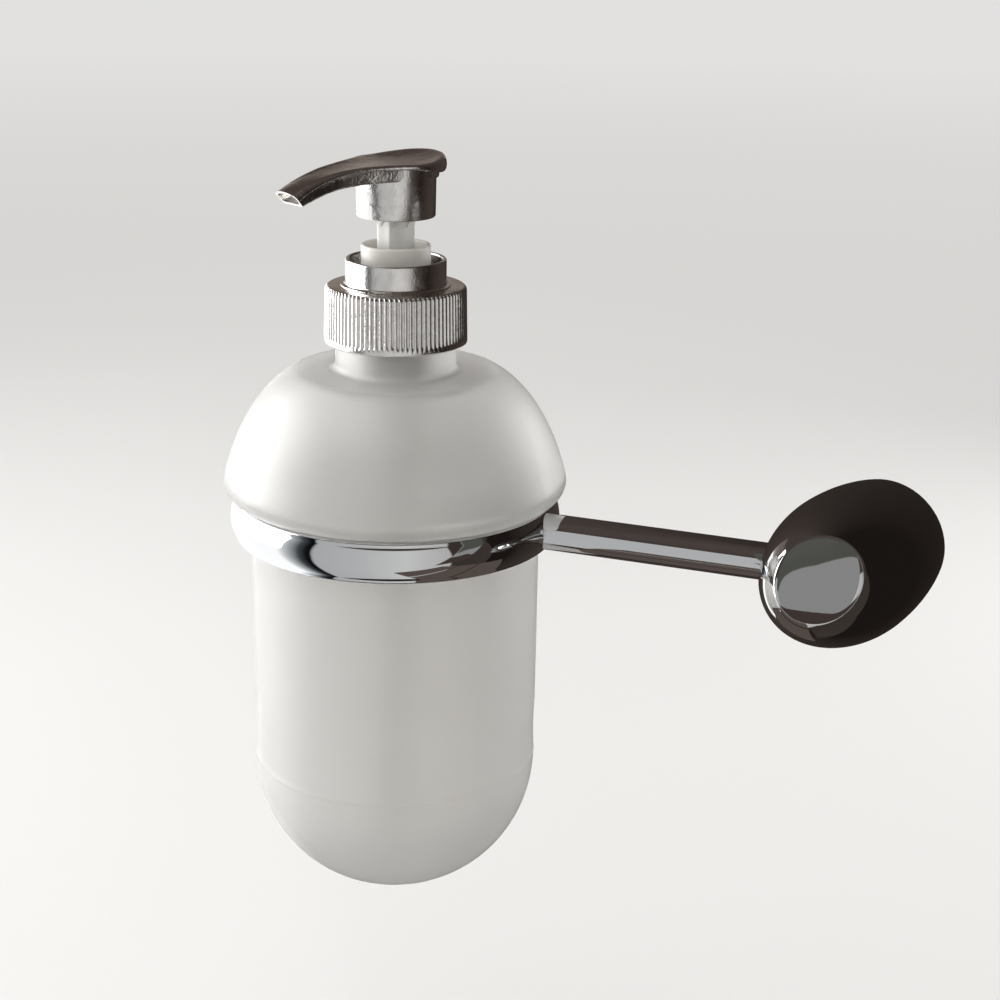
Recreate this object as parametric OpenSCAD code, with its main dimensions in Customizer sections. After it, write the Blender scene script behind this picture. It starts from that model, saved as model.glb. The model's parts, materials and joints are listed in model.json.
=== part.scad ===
// Wall-mounted soap dispenser: a glass bottle with a lotion pump hangs by its dome in a
// ring, and an arm carries the ring from an egg-shaped boss on the wall.
// The origin is the centre of the boss's wall face. The wall is the plane y = 0, the room
// is towards -Y, +Z is up, and the arm's axis lies in the plane z = 0.

/* [Placement] */
// Distance from the wall to the arm's axis inside the boss
standoff = 26; // [23:0.5:32]
// Distance along the arm from the boss's axis to the bottle's axis
arm_reach = 108.7; // [90:0.5:140]
// Angle of the arm off the wall, which keeps the bottle clear of it
arm_angle = 12.7; // [9:0.1:20]
// Turn of the spout away from straight out, as it was left
spout_turn = 15; // [-90:1:90]

/* [Boss] */
// Largest radius of the boss
boss_r = 17.3; // [16.5:0.1:20]
// Radius of the boss at the wall
boss_wall_r = 15; // [14.6:0.1:16]
// Distance of the largest section from the wall
boss_belly = 20.6; // [18:0.1:24]
// Length of the egg's nose in front of its largest section
boss_nose = 30; // [28:0.5:34]
// Length of nose that the polished facet cuts off
facet_cut = 4.24; // [3.5:0.02:5.5]
// Turn of the facet towards the side away from the bottle
facet_turn = 20; // [0:1:25]
// Upward tilt of the facet
facet_tilt = 24; // [0:1:28]
// Thickness of the cap's lip, which shows as a thin seam round the facet
cap_lip = 0.9; // [0.6:0.1:1.4]
// Height of the cap's crown over its flat edge
cap_crown = 0.5; // [0.2:0.1:0.8]
// Radius of the cap's spigot
cap_spigot_r = 7.4; // [7:0.1:7.6]
// Length of the cap's spigot
cap_spigot_l = 2.2; // [1.5:0.1:3]
// Radius of the bracket disc on the wall
bracket_r = 12; // [11.5:0.1:12.4]
// Thickness of the bracket disc
bracket_t = 6; // [5:0.1:7]
// Radius of the wall screws' holes
wall_hole_r = 2.2; // [1.6:0.1:2.4]
// Distance between the wall screws' holes
wall_hole_pitch = 13; // [11:0.5:13.5]

/* [Arm and ring] */
// Radius of the arm
arm_r = 4.35; // [4:0.05:5]
// How far the arm reaches past the boss's axis
arm_tail = 4; // [2:0.1:5]
// Thread radius of the screws that hold the arm
screw_r = 2.5; // [2:0.1:2.6]
// Clearance between the ring and the bottle's body
ring_play = 0.7; // [0.4:0.1:2]
// Thickness of the ring's wall at its edges
ring_wall = 3; // [2.8:0.1:5]
// Extra thickness at the middle of the barrel-shaped wall
ring_swell = 1.2; // [0.4:0.1:2]
// Height of the ring above and below the arm
ring_lip = 0.55; // [0.3:0.05:3]
// Rounding of the ring's edges
ring_edge = 0.7; // [0.3:0.1:1]

/* [Bottle] */
// Outer radius of the bottle's body
body_r = 35; // [28:0.1:42]
// Length of the straight body under the ring's centre
body_drop = 62.3; // [50:0.1:90]
// How far the dome stands out past the body
dome_over = 6.3; // [5.2:0.1:8]
// Height of the dome above the ring to its flat shoulder
dome_h = 30.6; // [28:0.1:36]
// Rounding of the dome's lower edge
dome_edge = 4; // [3.2:0.1:4.6]
// Thickness of the glass
glass_t = 3; // [2:0.1:4]
// Height of the plain neck above the shoulder
neck_h = 6.4; // [5:0.1:9]
// Radius at the root of the finish's thread
finish_root_r = 12.6; // [11.5:0.05:15.2]
// Thickness of the finish's wall
finish_t = 3; // [2:0.1:3.6]
// How far the plain neck stands out past the finish
neck_step = 1.8; // [1:0.1:2.2]
// Height of the thread over its root
thread_h = 1.2; // [1:0.05:1.25]
// Pitch of the thread
thread_pitch = 4.23; // [4:0.01:4.5]

/* [Closure] */
// Wall of the plain liner inside the shell
liner_t = 1.45; // [1:0.05:2.5]
// Height of the ribbed skirt
closure_h = 13.6; // [13.2:0.1:16]
// Wall of the metallised shell
shell_t = 1.2; // [0.9:0.05:1.3]
// Number of ribs round the skirt
rib_count = 90; // [40:2:110]
// Depth of the grooves between the ribs
rib_depth = 0.32; // [0.15:0.01:0.4]
// Width of the open groove between the turret and the lock cup
turret_gap = 2.7; // [2.2:0.1:3]
// Height of the turret
turret_h = 6.3; // [5:0.1:7]
// Wall of the turret
turret_t = 1; // [0.8:0.05:1.2]

/* [Pump] */
// Wall of the lock cup round the pump's tube
cup_skirt_t = 1.15; // [0.9:0.05:1.4]
// Height of the cup's rim above the top of the turret
cup_rise = 3.3; // [2.5:0.1:4]
// Inner radius of the pump cylinder
cylinder_r = 6; // [5.6:0.05:6.1]
// Wall of the pump cylinder
cylinder_t = 1; // [0.8:0.05:1.1]
// Length of the pump cylinder below the closure
cylinder_l = 40; // [38:0.5:50]
// Outer radius of the stem
stem_r = 4.65; // [4.4:0.05:4.8]
// Stroke of the pump
stroke = 12; // [8:0.5:12]
// Wire radius of the return spring
spring_wire_r = 0.35; // [0.25:0.05:0.4]
// Mean radius of the return spring
spring_r = 4.3; // [3.8:0.1:4.6]
// Turns of the return spring
spring_turns = 9; // [6:1:10]
// Outer radius of the dip tube
dip_r = 2.5; // [2:0.1:2.6]
// Gap between the dip tube and the bottle's floor
dip_gap = 6; // [3:0.5:15]

/* [Head] */
// Clearance of the head's round skirt over the lock cup
skirt_gap = 0.45; // [0.3:0.05:0.7]
// Height of the skirt
skirt_h = 10.5; // [8:0.1:12]
// Wall of the skirt
skirt_t = 0.7; // [0.6:0.05:0.8]
// Height of the bare stem between the cup and the skirt
stem_show = 6.6; // [6:0.1:10]
// How far the thumb plate's round end stands out past the skirt
plate_over = 1.65; // [0.9:0.05:2.5]
// How far the plate's round end is set back from the stem's axis
plate_back = 1; // [0:0.1:2]
// Distance of the spout's tip from the stem's axis
spout_reach = 32; // [26:0.1:50]
// Width of the spout at its tip
spout_w = 7.9; // [5.5:0.1:9]
// Height of the spout at its tip
spout_tip_h = 3.3; // [2.6:0.1:4]
// Drop of the spout's top from the plate to the tip
spout_drop = 4.6; // [4:0.1:9]

/* [Hidden] */

$fn = 96;
chrome = "silver";
plastic = "whitesmoke";
overrun = 1;          // how far a cut runs past the face that it opens
fit_gap = 0.05;       // clearance of pieces that are pushed together
free_gap = 0.3;       // clearance between pieces that move past each other
run_gap = 0.08;       // radial clearance of a running fit
seat_gap = 0.2;       // clearance under the dome's rim, where it rests on the ring
curve_steps = 16;     // steps along a quarter of a curved outline
coil_steps = 16;      // steps along a turn of a thread or a spring

bottle_x = -arm_reach * cos(arm_angle);
bottle_y = -standoff - arm_reach * sin(arm_angle);

module at_bottle() { translate([bottle_x, bottle_y, 0]) children(); }

// Along the arm: local Z runs from the bottle's axis to the boss's axis.
module along_arm() { at_bottle() rotate([0, 0, arm_angle]) rotate([0, 90, 0]) children(); }

// Out of the wall: local Z runs from the wall into the room.
module out_of_wall() { rotate([90, 0, 0]) children(); }

// Points of an arc, from one angle to another.
function arc(x, y, r, from, to, steps = curve_steps) =
    [for (i = [0:steps]) let (t = from + (to - from) * i / steps) [x + r * cos(t), y + r * sin(t)]];

// A closed surface over a list of rings, each with the same number of points.
module skin(rings) {
    sides = len(rings[0]);
    last = len(rings) - 1;
    polyhedron(
        points = [for (ring = rings) each ring],
        faces = concat(
            [for (i = [0:last - 1], j = [0:sides - 1])
                [i * sides + j, i * sides + (j + 1) % sides, (i + 1) * sides + j]],
            [for (i = [0:last - 1], j = [0:sides - 1])
                [i * sides + (j + 1) % sides, (i + 1) * sides + (j + 1) % sides, (i + 1) * sides + j]],
            [for (j = [1:sides - 2]) [0, j + 1, j]],
            [for (j = [1:sides - 2]) [last * sides, last * sides + j, last * sides + j + 1]]));
}

// The boss is an egg with a blunt wall end and a long nose, cut by a tilted facet.
boss_tail = boss_belly / sqrt(1 - pow(boss_wall_r / boss_r, 2));
egg_outline = concat([[0, 0]],
    [for (i = [0:curve_steps]) let (s = boss_belly * i / curve_steps)
        [boss_r * sqrt(1 - pow((boss_belly - s) / boss_tail, 2)), s]],
    [for (i = [1:curve_steps]) let (t = 90 * i / curve_steps)
        [boss_r * cos(t), boss_belly + boss_nose * sin(t)]]);

module egg() { out_of_wall() rotate_extrude() polygon(egg_outline); }

// The facet is an ellipse; its centre is off the normal, as the nose is longer than it is wide.
facet_normal = [sin(facet_turn) * cos(facet_tilt), -cos(facet_turn) * cos(facet_tilt), sin(facet_tilt)];
egg_size = [boss_r, boss_nose, boss_r];
facet_pull = [for (i = [0:2]) egg_size[i] * facet_normal[i]];
facet_depth = norm(facet_pull) - facet_cut;
facet_centre = [0, -boss_belly, 0] + facet_depth / pow(norm(facet_pull), 2)
    * [for (i = [0:2]) egg_size[i] * facet_pull[i]];
facet_span = boss_r * sqrt(1 - pow(facet_depth / norm(facet_pull), 2));

// Local Z is the facet's outward normal.
module face_facet(place) {
    translate(place) rotate([0, 0, facet_turn]) rotate([90 - facet_tilt, 0, 0]) children();
}

slab = 4 * boss_nose;  // a block that is larger than the boss
socket_depth = bracket_t + free_gap;
grub_r = 2;            // radius of the screw that locks the boss on the bracket
grub_y = bracket_t / 2;
grub_seat = 0.4;       // depth of the notch in the bracket's edge that the grub screw bites
hex_share = 0.55;      // a hexagon socket's radius, as a share of its screw's
socket_share = 0.4;    // a hexagon socket's depth, as a share of its screw's length

// The clamp screw stands on the arm, square to the facet, and the cap hides it.
clamp_shift = 4;       // distance of its foot from the boss's axis, towards the bottle
clamp_l = 7;           // its length
clamp_point = [-clamp_shift * cos(arm_angle), -standoff - clamp_shift * sin(arm_angle), 0];
clamp_rise = facet_normal * (facet_centre - clamp_point);
clamp_seat = arm_r - grub_seat;

module hex_screw(r, l) difference() {
    cylinder(r = r, h = l);
    translate([0, 0, l * (1 - socket_share)]) cylinder(r = r * hex_share, h = l, $fn = 6);
}

module wall_bracket() color(chrome) out_of_wall() difference() {
    cylinder(r = bracket_r, h = bracket_t);
    for (side = [-1, 1]) translate([0, side * wall_hole_pitch / 2, 0]) {
        translate([0, 0, -overrun]) cylinder(r = wall_hole_r, h = bracket_t + 2 * overrun);
        translate([0, 0, bracket_t - wall_hole_r])
            cylinder(r1 = wall_hole_r, r2 = 2 * wall_hole_r + fit_gap, h = wall_hole_r + fit_gap);
    }
    translate([0, -bracket_r - overrun, grub_y]) rotate([-90, 0, 0])
        cylinder(r = grub_r + fit_gap, h = overrun + grub_seat);
}

module boss() color(chrome) difference() {
    egg();
    out_of_wall() translate([0, 0, -overrun])
        cylinder(r = bracket_r + fit_gap, h = overrun + socket_depth);
    face_facet(facet_centre) {
        translate([-slab / 2, -slab / 2, -cap_lip - fit_gap]) cube(slab);
        translate([0, 0, -cap_lip - cap_spigot_l - free_gap])
            cylinder(r = cap_spigot_r + fit_gap, h = cap_spigot_l + cap_lip + overrun);
    }
    face_facet(clamp_point) cylinder(r = screw_r + fit_gap, h = clamp_rise);
    along_arm() translate([0, 0, arm_reach - 2 * boss_r])
        cylinder(r = arm_r + fit_gap, h = 2 * boss_r + arm_tail + free_gap);
    translate([0, -grub_y, -boss_r]) cylinder(r = grub_r + fit_gap, h = boss_r);
}

crown_r = (pow(facet_span, 2) + pow(cap_crown, 2)) / (2 * cap_crown);

module boss_cap() color(chrome) union() {
    intersection() {
        egg();
        face_facet(facet_centre) translate([-slab / 2, -slab / 2, -cap_lip]) cube(slab);
        face_facet(facet_centre) translate([0, 0, cap_crown - crown_r]) sphere(crown_r, $fn = 200);
    }
    face_facet(facet_centre) translate([0, 0, -cap_lip - cap_spigot_l])
        cylinder(r = cap_spigot_r, h = cap_spigot_l + cap_lip / 2);
}

module boss_grub_screw() color("dimgray")
    translate([0, -grub_y, -bracket_r + grub_seat - fit_gap]) mirror([0, 0, 1])
        hex_screw(grub_r, boss_wall_r - bracket_r);

module arm_clamp_screw() color("dimgray")
    face_facet(clamp_point) translate([0, 0, clamp_seat + fit_gap]) hex_screw(screw_r, clamp_l);

// The ring's wall swells like a barrel's stave.
ring_inner_r = body_r + ring_play;
ring_outer_r = ring_inner_r + ring_wall;
ring_h = 2 * (arm_r + ring_lip);
function ring_outline(gap) = concat(
    arc(ring_inner_r + ring_edge / 2 - gap, -ring_h / 2 + ring_edge / 2 - gap, ring_edge / 2,
        180, 270, 4),
    arc(ring_outer_r - ring_edge + gap, -ring_h / 2 + ring_edge - gap, ring_edge, 270, 345, 4),
    [for (i = [1 - curve_steps:curve_steps - 1]) let (k = i / curve_steps)
        [ring_outer_r + gap + ring_swell * (1 - k * k), k * (ring_h / 2 - ring_edge)]],
    arc(ring_outer_r - ring_edge + gap, ring_h / 2 - ring_edge + gap, ring_edge, 15, 90, 4),
    arc(ring_inner_r + ring_edge / 2 - gap, ring_h / 2 - ring_edge / 2 + gap, ring_edge / 2,
        90, 180, 4));

ring_screw_l = 12;
head_share = 1.7;      // a countersunk head's radius, as a share of its screw's
ring_head_r = screw_r * head_share;
ring_head_x = ring_inner_r + seat_gap;

module arm() color(chrome) difference() {
    along_arm() translate([0, 0, ring_inner_r])
        cylinder(r = arm_r, h = arm_reach - ring_inner_r + arm_tail);
    at_bottle() rotate_extrude() polygon(ring_outline(fit_gap));
    along_arm() cylinder(r = screw_r + fit_gap, h = ring_head_x + ring_screw_l + free_gap);
    face_facet(clamp_point) translate([0, 0, clamp_seat])
        cylinder(r = screw_r + fit_gap, h = arm_r);
}

module holder_ring() color(chrome) difference() {
    at_bottle() rotate_extrude() polygon(ring_outline(0));
    along_arm() cylinder(r = screw_r + fit_gap, h = 2 * ring_outer_r);
    along_arm() translate([0, 0, ring_head_x - overrun])
        cylinder(r1 = ring_head_r + overrun + fit_gap, r2 = screw_r,
            h = ring_head_r + overrun + fit_gap - screw_r);
}

module ring_screw() color("dimgray") along_arm() translate([0, 0, ring_head_x]) difference() {
    union() {
        cylinder(r1 = ring_head_r, r2 = screw_r, h = ring_head_r - screw_r);
        cylinder(r = screw_r, h = ring_screw_l);
    }
    translate([0, 0, -overrun])
        cylinder(r = screw_r * hex_share, h = overrun + screw_r * hex_share, $fn = 6);
}

// The bottle hangs by the flat under its dome. The dome's outline is a superellipse.
dome_r = body_r + dome_over;
neck_r = finish_root_r + neck_step;
neck_bore_r = finish_root_r - finish_t;
rim_z = ring_h / 2 + seat_gap;
dome_z = rim_z + dome_edge;
shoulder_z = rim_z + dome_h;
neck_z = shoulder_z + neck_h;
dome_power = 3.9;
dome_root = 1.2;
dome_peak = 1.12;      // how far the full superellipse would rise, over the flat shoulder
neck_fillet = 2;
body_fillet = 1.2;
lip_round = 0.6;
dome_full_h = (shoulder_z - dome_z) * dome_peak;
function dome_height(r) = min(shoulder_z,
    dome_z + dome_full_h * pow(1 - pow(r / dome_r, dome_power), 1 / dome_root));

gasket_t = 1;
flange_t = 1.4;
liner_top_t = 0.9;
closure_z = neck_z + free_gap;
closure_top_z = closure_z + closure_h;
liner_top_z = closure_top_z - shell_t - fit_gap;
flange_z = liner_top_z - liner_top_t - fit_gap - flange_t;
finish_z = flange_z - gasket_t;
finish_crest_r = finish_root_r + thread_h;

dome_from = neck_r + neck_fillet;
function dome_side(inset) = [for (i = [0:2 * curve_steps])
    let (a = 90 * i / (2 * curve_steps), r = dome_from + (dome_r - dome_from) * cos(a))
        [r - inset * pow(cos(a), 0.5), dome_height(r) - inset * sin(a)]];

bottle_outline = concat(
    arc(0, -body_drop, body_r, 270, 360),
    arc(body_r + body_fillet, rim_z - body_fillet, body_fillet, 180, 90, 6),
    arc(dome_r - dome_edge, dome_z, dome_edge, 270, 360),
    dome_side(0),
    arc(neck_r + neck_fillet, shoulder_z + neck_fillet, neck_fillet, 270, 180, 6),
    [[neck_r, neck_z - lip_round], [neck_r - lip_round, neck_z], [finish_root_r, neck_z]],
    arc(finish_root_r - lip_round, finish_z - lip_round, lip_round, 0, 90, 4),
    arc(neck_bore_r + lip_round, finish_z - lip_round, lip_round, 90, 180, 4),
    arc(neck_bore_r + neck_fillet, shoulder_z - glass_t + neck_fillet, neck_fillet, 180, 270, 6),
    [for (i = [2 * curve_steps:-1:0]) dome_side(glass_t)[i]],
    arc(body_r - glass_t + dome_edge, rim_z + glass_t + dome_edge, dome_edge, 270, 180, 6),
    arc(0, -body_drop, body_r - glass_t, 360, 270));

// A thread's ridge fades in and out over a few steps at its ends.
ridge_base = 1.7;
ridge_crest = 0.8;
ridge_sink = 0.3;      // how far a ridge is sunk into its wall
ridge_lead = 0.7;      // bare height at each end of the finish
fade_steps = 4;
fade_end_share = 0.1;
thread_turns = (finish_z - neck_z - ridge_base - 2 * ridge_lead) / thread_pitch;
thread_z = neck_z + ridge_lead + ridge_base / 2;
thread_count = round(thread_turns * coil_steps);
function ridge_fade(i) = max(fade_end_share, min(1, i / fade_steps, (thread_count - i) / fade_steps));
function ridge_ring(i, z, wall_r, sink, crest) =
    let (a = 360 * i / coil_steps, h = z + thread_pitch * i / coil_steps,
        tip = wall_r + crest * ridge_fade(i), root = wall_r - sink,
        section = crest > 0
            ? [[root, -ridge_base], [tip, -ridge_crest], [tip, ridge_crest], [root, ridge_base]]
            : [[tip, -ridge_crest], [root, -ridge_base], [root, ridge_base], [tip, ridge_crest]])
        [for (p = section) [p[0] * cos(a), p[0] * sin(a), h + p[1] / 2]];

module bottle() color("gainsboro", 0.8) at_bottle() union() {
    rotate_extrude() polygon(bottle_outline);
    skin([for (i = [0:thread_count])
        ridge_ring(i, thread_z, finish_root_r, ridge_sink, thread_h)]);
}

// The closure: a metallised shell over a plain liner that carries the thread, half a turn
// from the bottle's, so that each ridge lies between two of the other's.
liner_bore_r = finish_crest_r + free_gap;
liner_r = liner_bore_r + liner_t;
shell_bore_r = liner_r + fit_gap;
closure_r = shell_bore_r + shell_t;
tube_r = cylinder_r + cylinder_t;
core_hole_r = tube_r + free_gap;
cup_r = tube_r + fit_gap + cup_skirt_t;
turret_r = cup_r + turret_gap + turret_t;
rib_foot = 1.6;        // plain band under the ribs
rib_head = 0.5;        // plain band above the ribs
edge_round = 1.1;      // rounding of the skirt's upper edge
shell_bevel = 0.5;     // bevel at the skirt's mouth and at the turret's foot
turret_z = closure_top_z + turret_h;
liner_z = closure_z + free_gap;

module closure_shell() color(chrome) at_bottle() difference() {
    rotate_extrude() polygon(concat(
        [[shell_bore_r, closure_z]],
        [[closure_r - shell_bevel, closure_z], [closure_r, closure_z + shell_bevel]],
        arc(closure_r - edge_round, closure_top_z - edge_round, edge_round, 0, 90, 6),
        [[turret_r + shell_bevel, closure_top_z], [turret_r, closure_top_z + shell_bevel]],
        arc(turret_r - turret_t / 2, turret_z - turret_t / 2, turret_t / 2, 0, 180, 8),
        [[turret_r - turret_t, closure_top_z], [core_hole_r, closure_top_z],
            [core_hole_r, closure_top_z - shell_t], [shell_bore_r, closure_top_z - shell_t]]));
    for (i = [0:rib_count - 1]) rotate([0, 0, 360 * i / rib_count])
        translate([closure_r - rib_depth, 0, closure_z + rib_foot]) rotate([0, 0, -45])
            cube([2 * rib_depth, 2 * rib_depth, closure_h - rib_foot - edge_round - rib_head]);
}

module closure_liner() color(plastic) at_bottle() union() {
    rotate_extrude() polygon([[liner_bore_r, liner_z], [liner_r, liner_z], [liner_r, liner_top_z],
        [core_hole_r, liner_top_z], [core_hole_r, liner_top_z - liner_top_t],
        [liner_bore_r, liner_top_z - liner_top_t]]);
    rotate([0, 0, 180]) skin([for (i = [0:thread_count])
        ridge_ring(i, thread_z, liner_bore_r, -ridge_sink, -thread_h)]);
}

module neck_gasket() color("white") at_bottle() translate([0, 0, finish_z]) difference() {
    cylinder(r = finish_root_r, h = gasket_t);
    translate([0, 0, -overrun]) cylinder(r = core_hole_r, h = gasket_t + 2 * overrun);
}

// The pump's cylinder hangs from its flange, and the inlet valve is under its floor.
tube_rise = 4.3;       // how far the tube stands above the closure, inside the cup
cage_t = 1.2;
valve_r = 2.7;
valve_h = 6.9;
valve_wall = 1.7;
seat_r = 1.6;
seat_h = 1.5;
dip_socket = 6;
ball_r = 2.3;
ball_travel = 1.2;
tube_top_z = closure_top_z + tube_rise;
floor_z = flange_z - cylinder_l;
seat_z = floor_z - valve_h;
seat_cone = valve_r - seat_r;
dip_top_z = seat_z - seat_cone - seat_h;
ball_z = seat_z - seat_cone + sqrt(pow(ball_r, 2) - pow(seat_r, 2)) + fit_gap;

module pump_housing() color(plastic) at_bottle() difference() {
    union() {
        translate([0, 0, flange_z]) cylinder(r = finish_root_r, h = flange_t);
        translate([0, 0, floor_z - cylinder_t]) cylinder(r = tube_r, h = tube_top_z - floor_z + cylinder_t);
        translate([0, 0, floor_z - cylinder_t - tube_r + valve_r + valve_wall])
            cylinder(r1 = valve_r + valve_wall, r2 = tube_r, h = tube_r - valve_r - valve_wall);
        translate([0, 0, dip_top_z - dip_socket])
            cylinder(r = valve_r + valve_wall, h = floor_z - dip_top_z + dip_socket);
    }
    translate([0, 0, floor_z]) cylinder(r = cylinder_r, h = tube_top_z - floor_z + overrun);
    translate([0, 0, seat_z]) cylinder(r = valve_r, h = valve_h + overrun);
    translate([0, 0, seat_z - seat_cone]) cylinder(r1 = seat_r, r2 = valve_r, h = seat_cone);
    translate([0, 0, dip_top_z - overrun]) cylinder(r = seat_r, h = seat_h + 2 * overrun);
    translate([0, 0, dip_top_z - dip_socket - overrun])
        cylinder(r = dip_r + fit_gap, h = dip_socket + overrun);
}

// The lock cup snaps over the tube and traps the closure; the stem runs in its floor.
cup_z = closure_top_z + free_gap;
cup_top_z = turret_z + cup_rise;
cup_wall = 0.9;
cup_floor = 2;
cup_round = 0.35;

module lock_cup() color(plastic) at_bottle() difference() {
    rotate_extrude() polygon(concat(
        [[tube_r + fit_gap, cup_z], [cup_r, cup_z]],
        arc(cup_r - cup_round, cup_top_z - cup_round, cup_round, 0, 90, 4),
        arc(cup_r - cup_wall + cup_round, cup_top_z - cup_round, cup_round, 90, 180, 4),
        [[cup_r - cup_wall, tube_top_z + fit_gap + cup_floor],
            [stem_r + run_gap, tube_top_z + fit_gap + cup_floor],
            [stem_r + run_gap, tube_top_z + fit_gap], [tube_r + fit_gap, tube_top_z + fit_gap]]));
}

// The cage stands on the cylinder's floor, keeps the ball near its seat and carries the spring.
cage_hole_r = 1.1;
cage_r = cylinder_r - fit_gap;
stub_r = 0.9;
stub_z = ball_z + ball_r + ball_travel + free_gap;

module ball_cage() color(plastic) at_bottle() difference() {
    union() {
        translate([0, 0, floor_z]) cylinder(r = cage_r, h = cage_t);
        translate([0, 0, stub_z]) cylinder(r = stub_r, h = floor_z - stub_z + cage_t / 2);
    }
    for (i = [0:3]) rotate([0, 0, 90 * i]) translate([stub_r + cage_hole_r, 0, floor_z - overrun])
        cylinder(r = cage_hole_r, h = cage_t + 2 * overrun);
}

module inlet_ball() color("silver") at_bottle() translate([0, 0, ball_z]) sphere(ball_r);

dip_wall = 0.8;
dip_end_z = -body_drop - body_r + glass_t + dip_gap;

module dip_tube() color(plastic, 0.7) at_bottle() difference() {
    translate([0, 0, dip_end_z]) cylinder(r = dip_r, h = dip_top_z - dip_end_z - fit_gap);
    translate([0, 0, dip_end_z - overrun])
        cylinder(r = dip_r - dip_wall, h = dip_top_z - dip_end_z + 2 * overrun);
    translate([0, 0, dip_end_z]) rotate([45, 0, 0]) translate([-2 * dip_r, -2 * dip_r, -4 * dip_r])
        cube(4 * dip_r);
}

// The plunger: a hollow rod with a foot, and a piston held on it.
rod_r = 2.4;
rod_bore_r = 1.4;
foot_r = 5;
foot_t = 1.5;
piston_h = 6;
port_r = 0.8;
spring_margin = 4;     // length that the pressed spring keeps over its closed coils
rod_rise = 0.4;        // how far the rod's top reaches above the cup's rim
spring_z = floor_z + cage_t + spring_wire_r;
foot_z = floor_z + cage_t + spring_turns * 2 * spring_wire_r + stroke + spring_margin;
piston_z = foot_z + foot_t + fit_gap;
rod_top_z = cup_top_z + rod_rise;

module piston_rod() color(plastic) at_bottle() difference() {
    union() {
        translate([0, 0, foot_z]) cylinder(r = foot_r, h = foot_t);
        translate([0, 0, foot_z]) cylinder(r = rod_r, h = rod_top_z - foot_z);
    }
    translate([0, 0, foot_z + foot_t]) cylinder(r = rod_bore_r, h = rod_top_z - foot_z);
    translate([-rod_r - overrun, 0, piston_z + piston_h + port_r + free_gap]) rotate([0, 90, 0])
        cylinder(r = port_r, h = 2 * (rod_r + overrun));
}

piston_lip = 1.6;      // height of the sealing lips
piston_waist = 0.8;    // how far the piston draws in between its lips

module piston() color("lightgray") at_bottle() translate([0, 0, piston_z]) rotate_extrude()
    polygon([[rod_r + fit_gap, 0], [cylinder_r - run_gap, 0], [cylinder_r - run_gap, piston_lip],
        [cylinder_r - piston_waist, 2 * piston_lip], [cylinder_r - piston_waist, piston_h - 2 * piston_lip],
        [cylinder_r - run_gap, piston_h - piston_lip], [cylinder_r - run_gap, piston_h],
        [rod_r + fit_gap, piston_h]]);

spring_l = foot_z - floor_z - cage_t - 2 * spring_wire_r;
wire_sides = 6;

module return_spring() color("gray") at_bottle() translate([0, 0, spring_z]) skin(
    [for (i = [0:spring_turns * coil_steps])
        let (a = 360 * i / coil_steps, h = spring_l * i / (spring_turns * coil_steps))
            [for (j = [0:wire_sides - 1])
                let (b = 360 * j / wire_sides, r = spring_r + spring_wire_r * cos(b))
                    [r * cos(a), r * sin(a), h + spring_wire_r * sin(b)]]]);

// The stem is fluted. Its top holds the outlet ball over the rod.
stem_tail = 4.4;       // how far the stem reaches below the cup's floor
chamber_r = 2.7;
outlet_ball_r = 1.9;
outlet_travel = 1;
duct_r = 1.3;
flute_count = 8;
flute_r = 1.1;
flute_depth = 0.3;
skirt_z = cup_top_z + stem_show;
head_z = skirt_z + skirt_h;
plate_t = 4.2;
head_top_z = head_z + plate_t;
stem_z = tube_top_z + fit_gap - stem_tail;
stem_top_z = head_z;
outlet_ball_z = rod_top_z + sqrt(pow(outlet_ball_r, 2) - pow(rod_bore_r, 2)) + fit_gap;
chamber_top_z = outlet_ball_z + outlet_ball_r + outlet_travel + free_gap;

module outlet_ball() color("silver") at_bottle() translate([0, 0, outlet_ball_z]) sphere(outlet_ball_r);

module stem() color(plastic) at_bottle() difference() {
    translate([0, 0, stem_z]) cylinder(r = stem_r, h = stem_top_z - stem_z);
    translate([0, 0, stem_z - overrun]) cylinder(r = rod_r + fit_gap, h = stem_top_z - stem_z);
    translate([0, 0, rod_top_z + fit_gap]) cylinder(r = chamber_r, h = chamber_top_z - rod_top_z);
    translate([0, 0, stem_z]) cylinder(r = duct_r, h = stem_top_z - stem_z + overrun);
    for (i = [0:flute_count - 1]) rotate([0, 0, 360 * i / flute_count])
        translate([stem_r + flute_r - flute_depth, 0, stem_z - overrun])
            cylinder(r = flute_r, h = stem_top_z - stem_z + 2 * overrun);
}

// The actuator head: a teardrop cover that runs out into the spout, over a narrower trough.
// s is the distance from the stem's axis towards the tip.
skirt_r = cup_r + skirt_gap + skirt_t;
plate_r = skirt_r + plate_over;
tip_half = spout_w / 2;
plate_end_share = 0.55;   // where the spout's flank leaves the plate's circle, in plate radii
flank_power = 2.6;
top_power = 3.1;
belly_power = 2.6;
rim_rise = 1.7;        // how far the rim at the back stands above the plate
rim_power = 1.5;
curl_depth = 5;        // how much further the rim reaches down at the back
curl_share = 0.25;     // where the rim starts to reach down, ahead of the axis, in plate radii
lip_t = 1.1;           // thickness of the cover's lip along the spout
lip_over = 0.8;        // how far the lip stands out over the trough
lip_over_tip = 0.4;    // the same at the tip
lip_edge = 1;          // rounding of the cover's upper edge
dish_depth = 0.6;      // depth of the thumb dish
crown_h = 0.8;         // how far the spout's top is arched at the tip
trough_depth = 1.5;    // how far the trough reaches below the plate
trough_taper_share = 0.92;
spout_wall = 0.6;
tip_lean = 0.9;        // slant of the spout's mouth, as forward run over height
lean_from_share = 0.6; // where the sections start to lean, as a share of the reach
socket_wall = 1.2;
trough_from = stem_r;
spout_steps = 14;
flank_s = plate_end_share * plate_r - plate_back;
flank_half = plate_r * sqrt(1 - pow(plate_end_share, 2));
plate_top_z = head_top_z - rim_rise;
back_reach = plate_r + plate_back;
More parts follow.
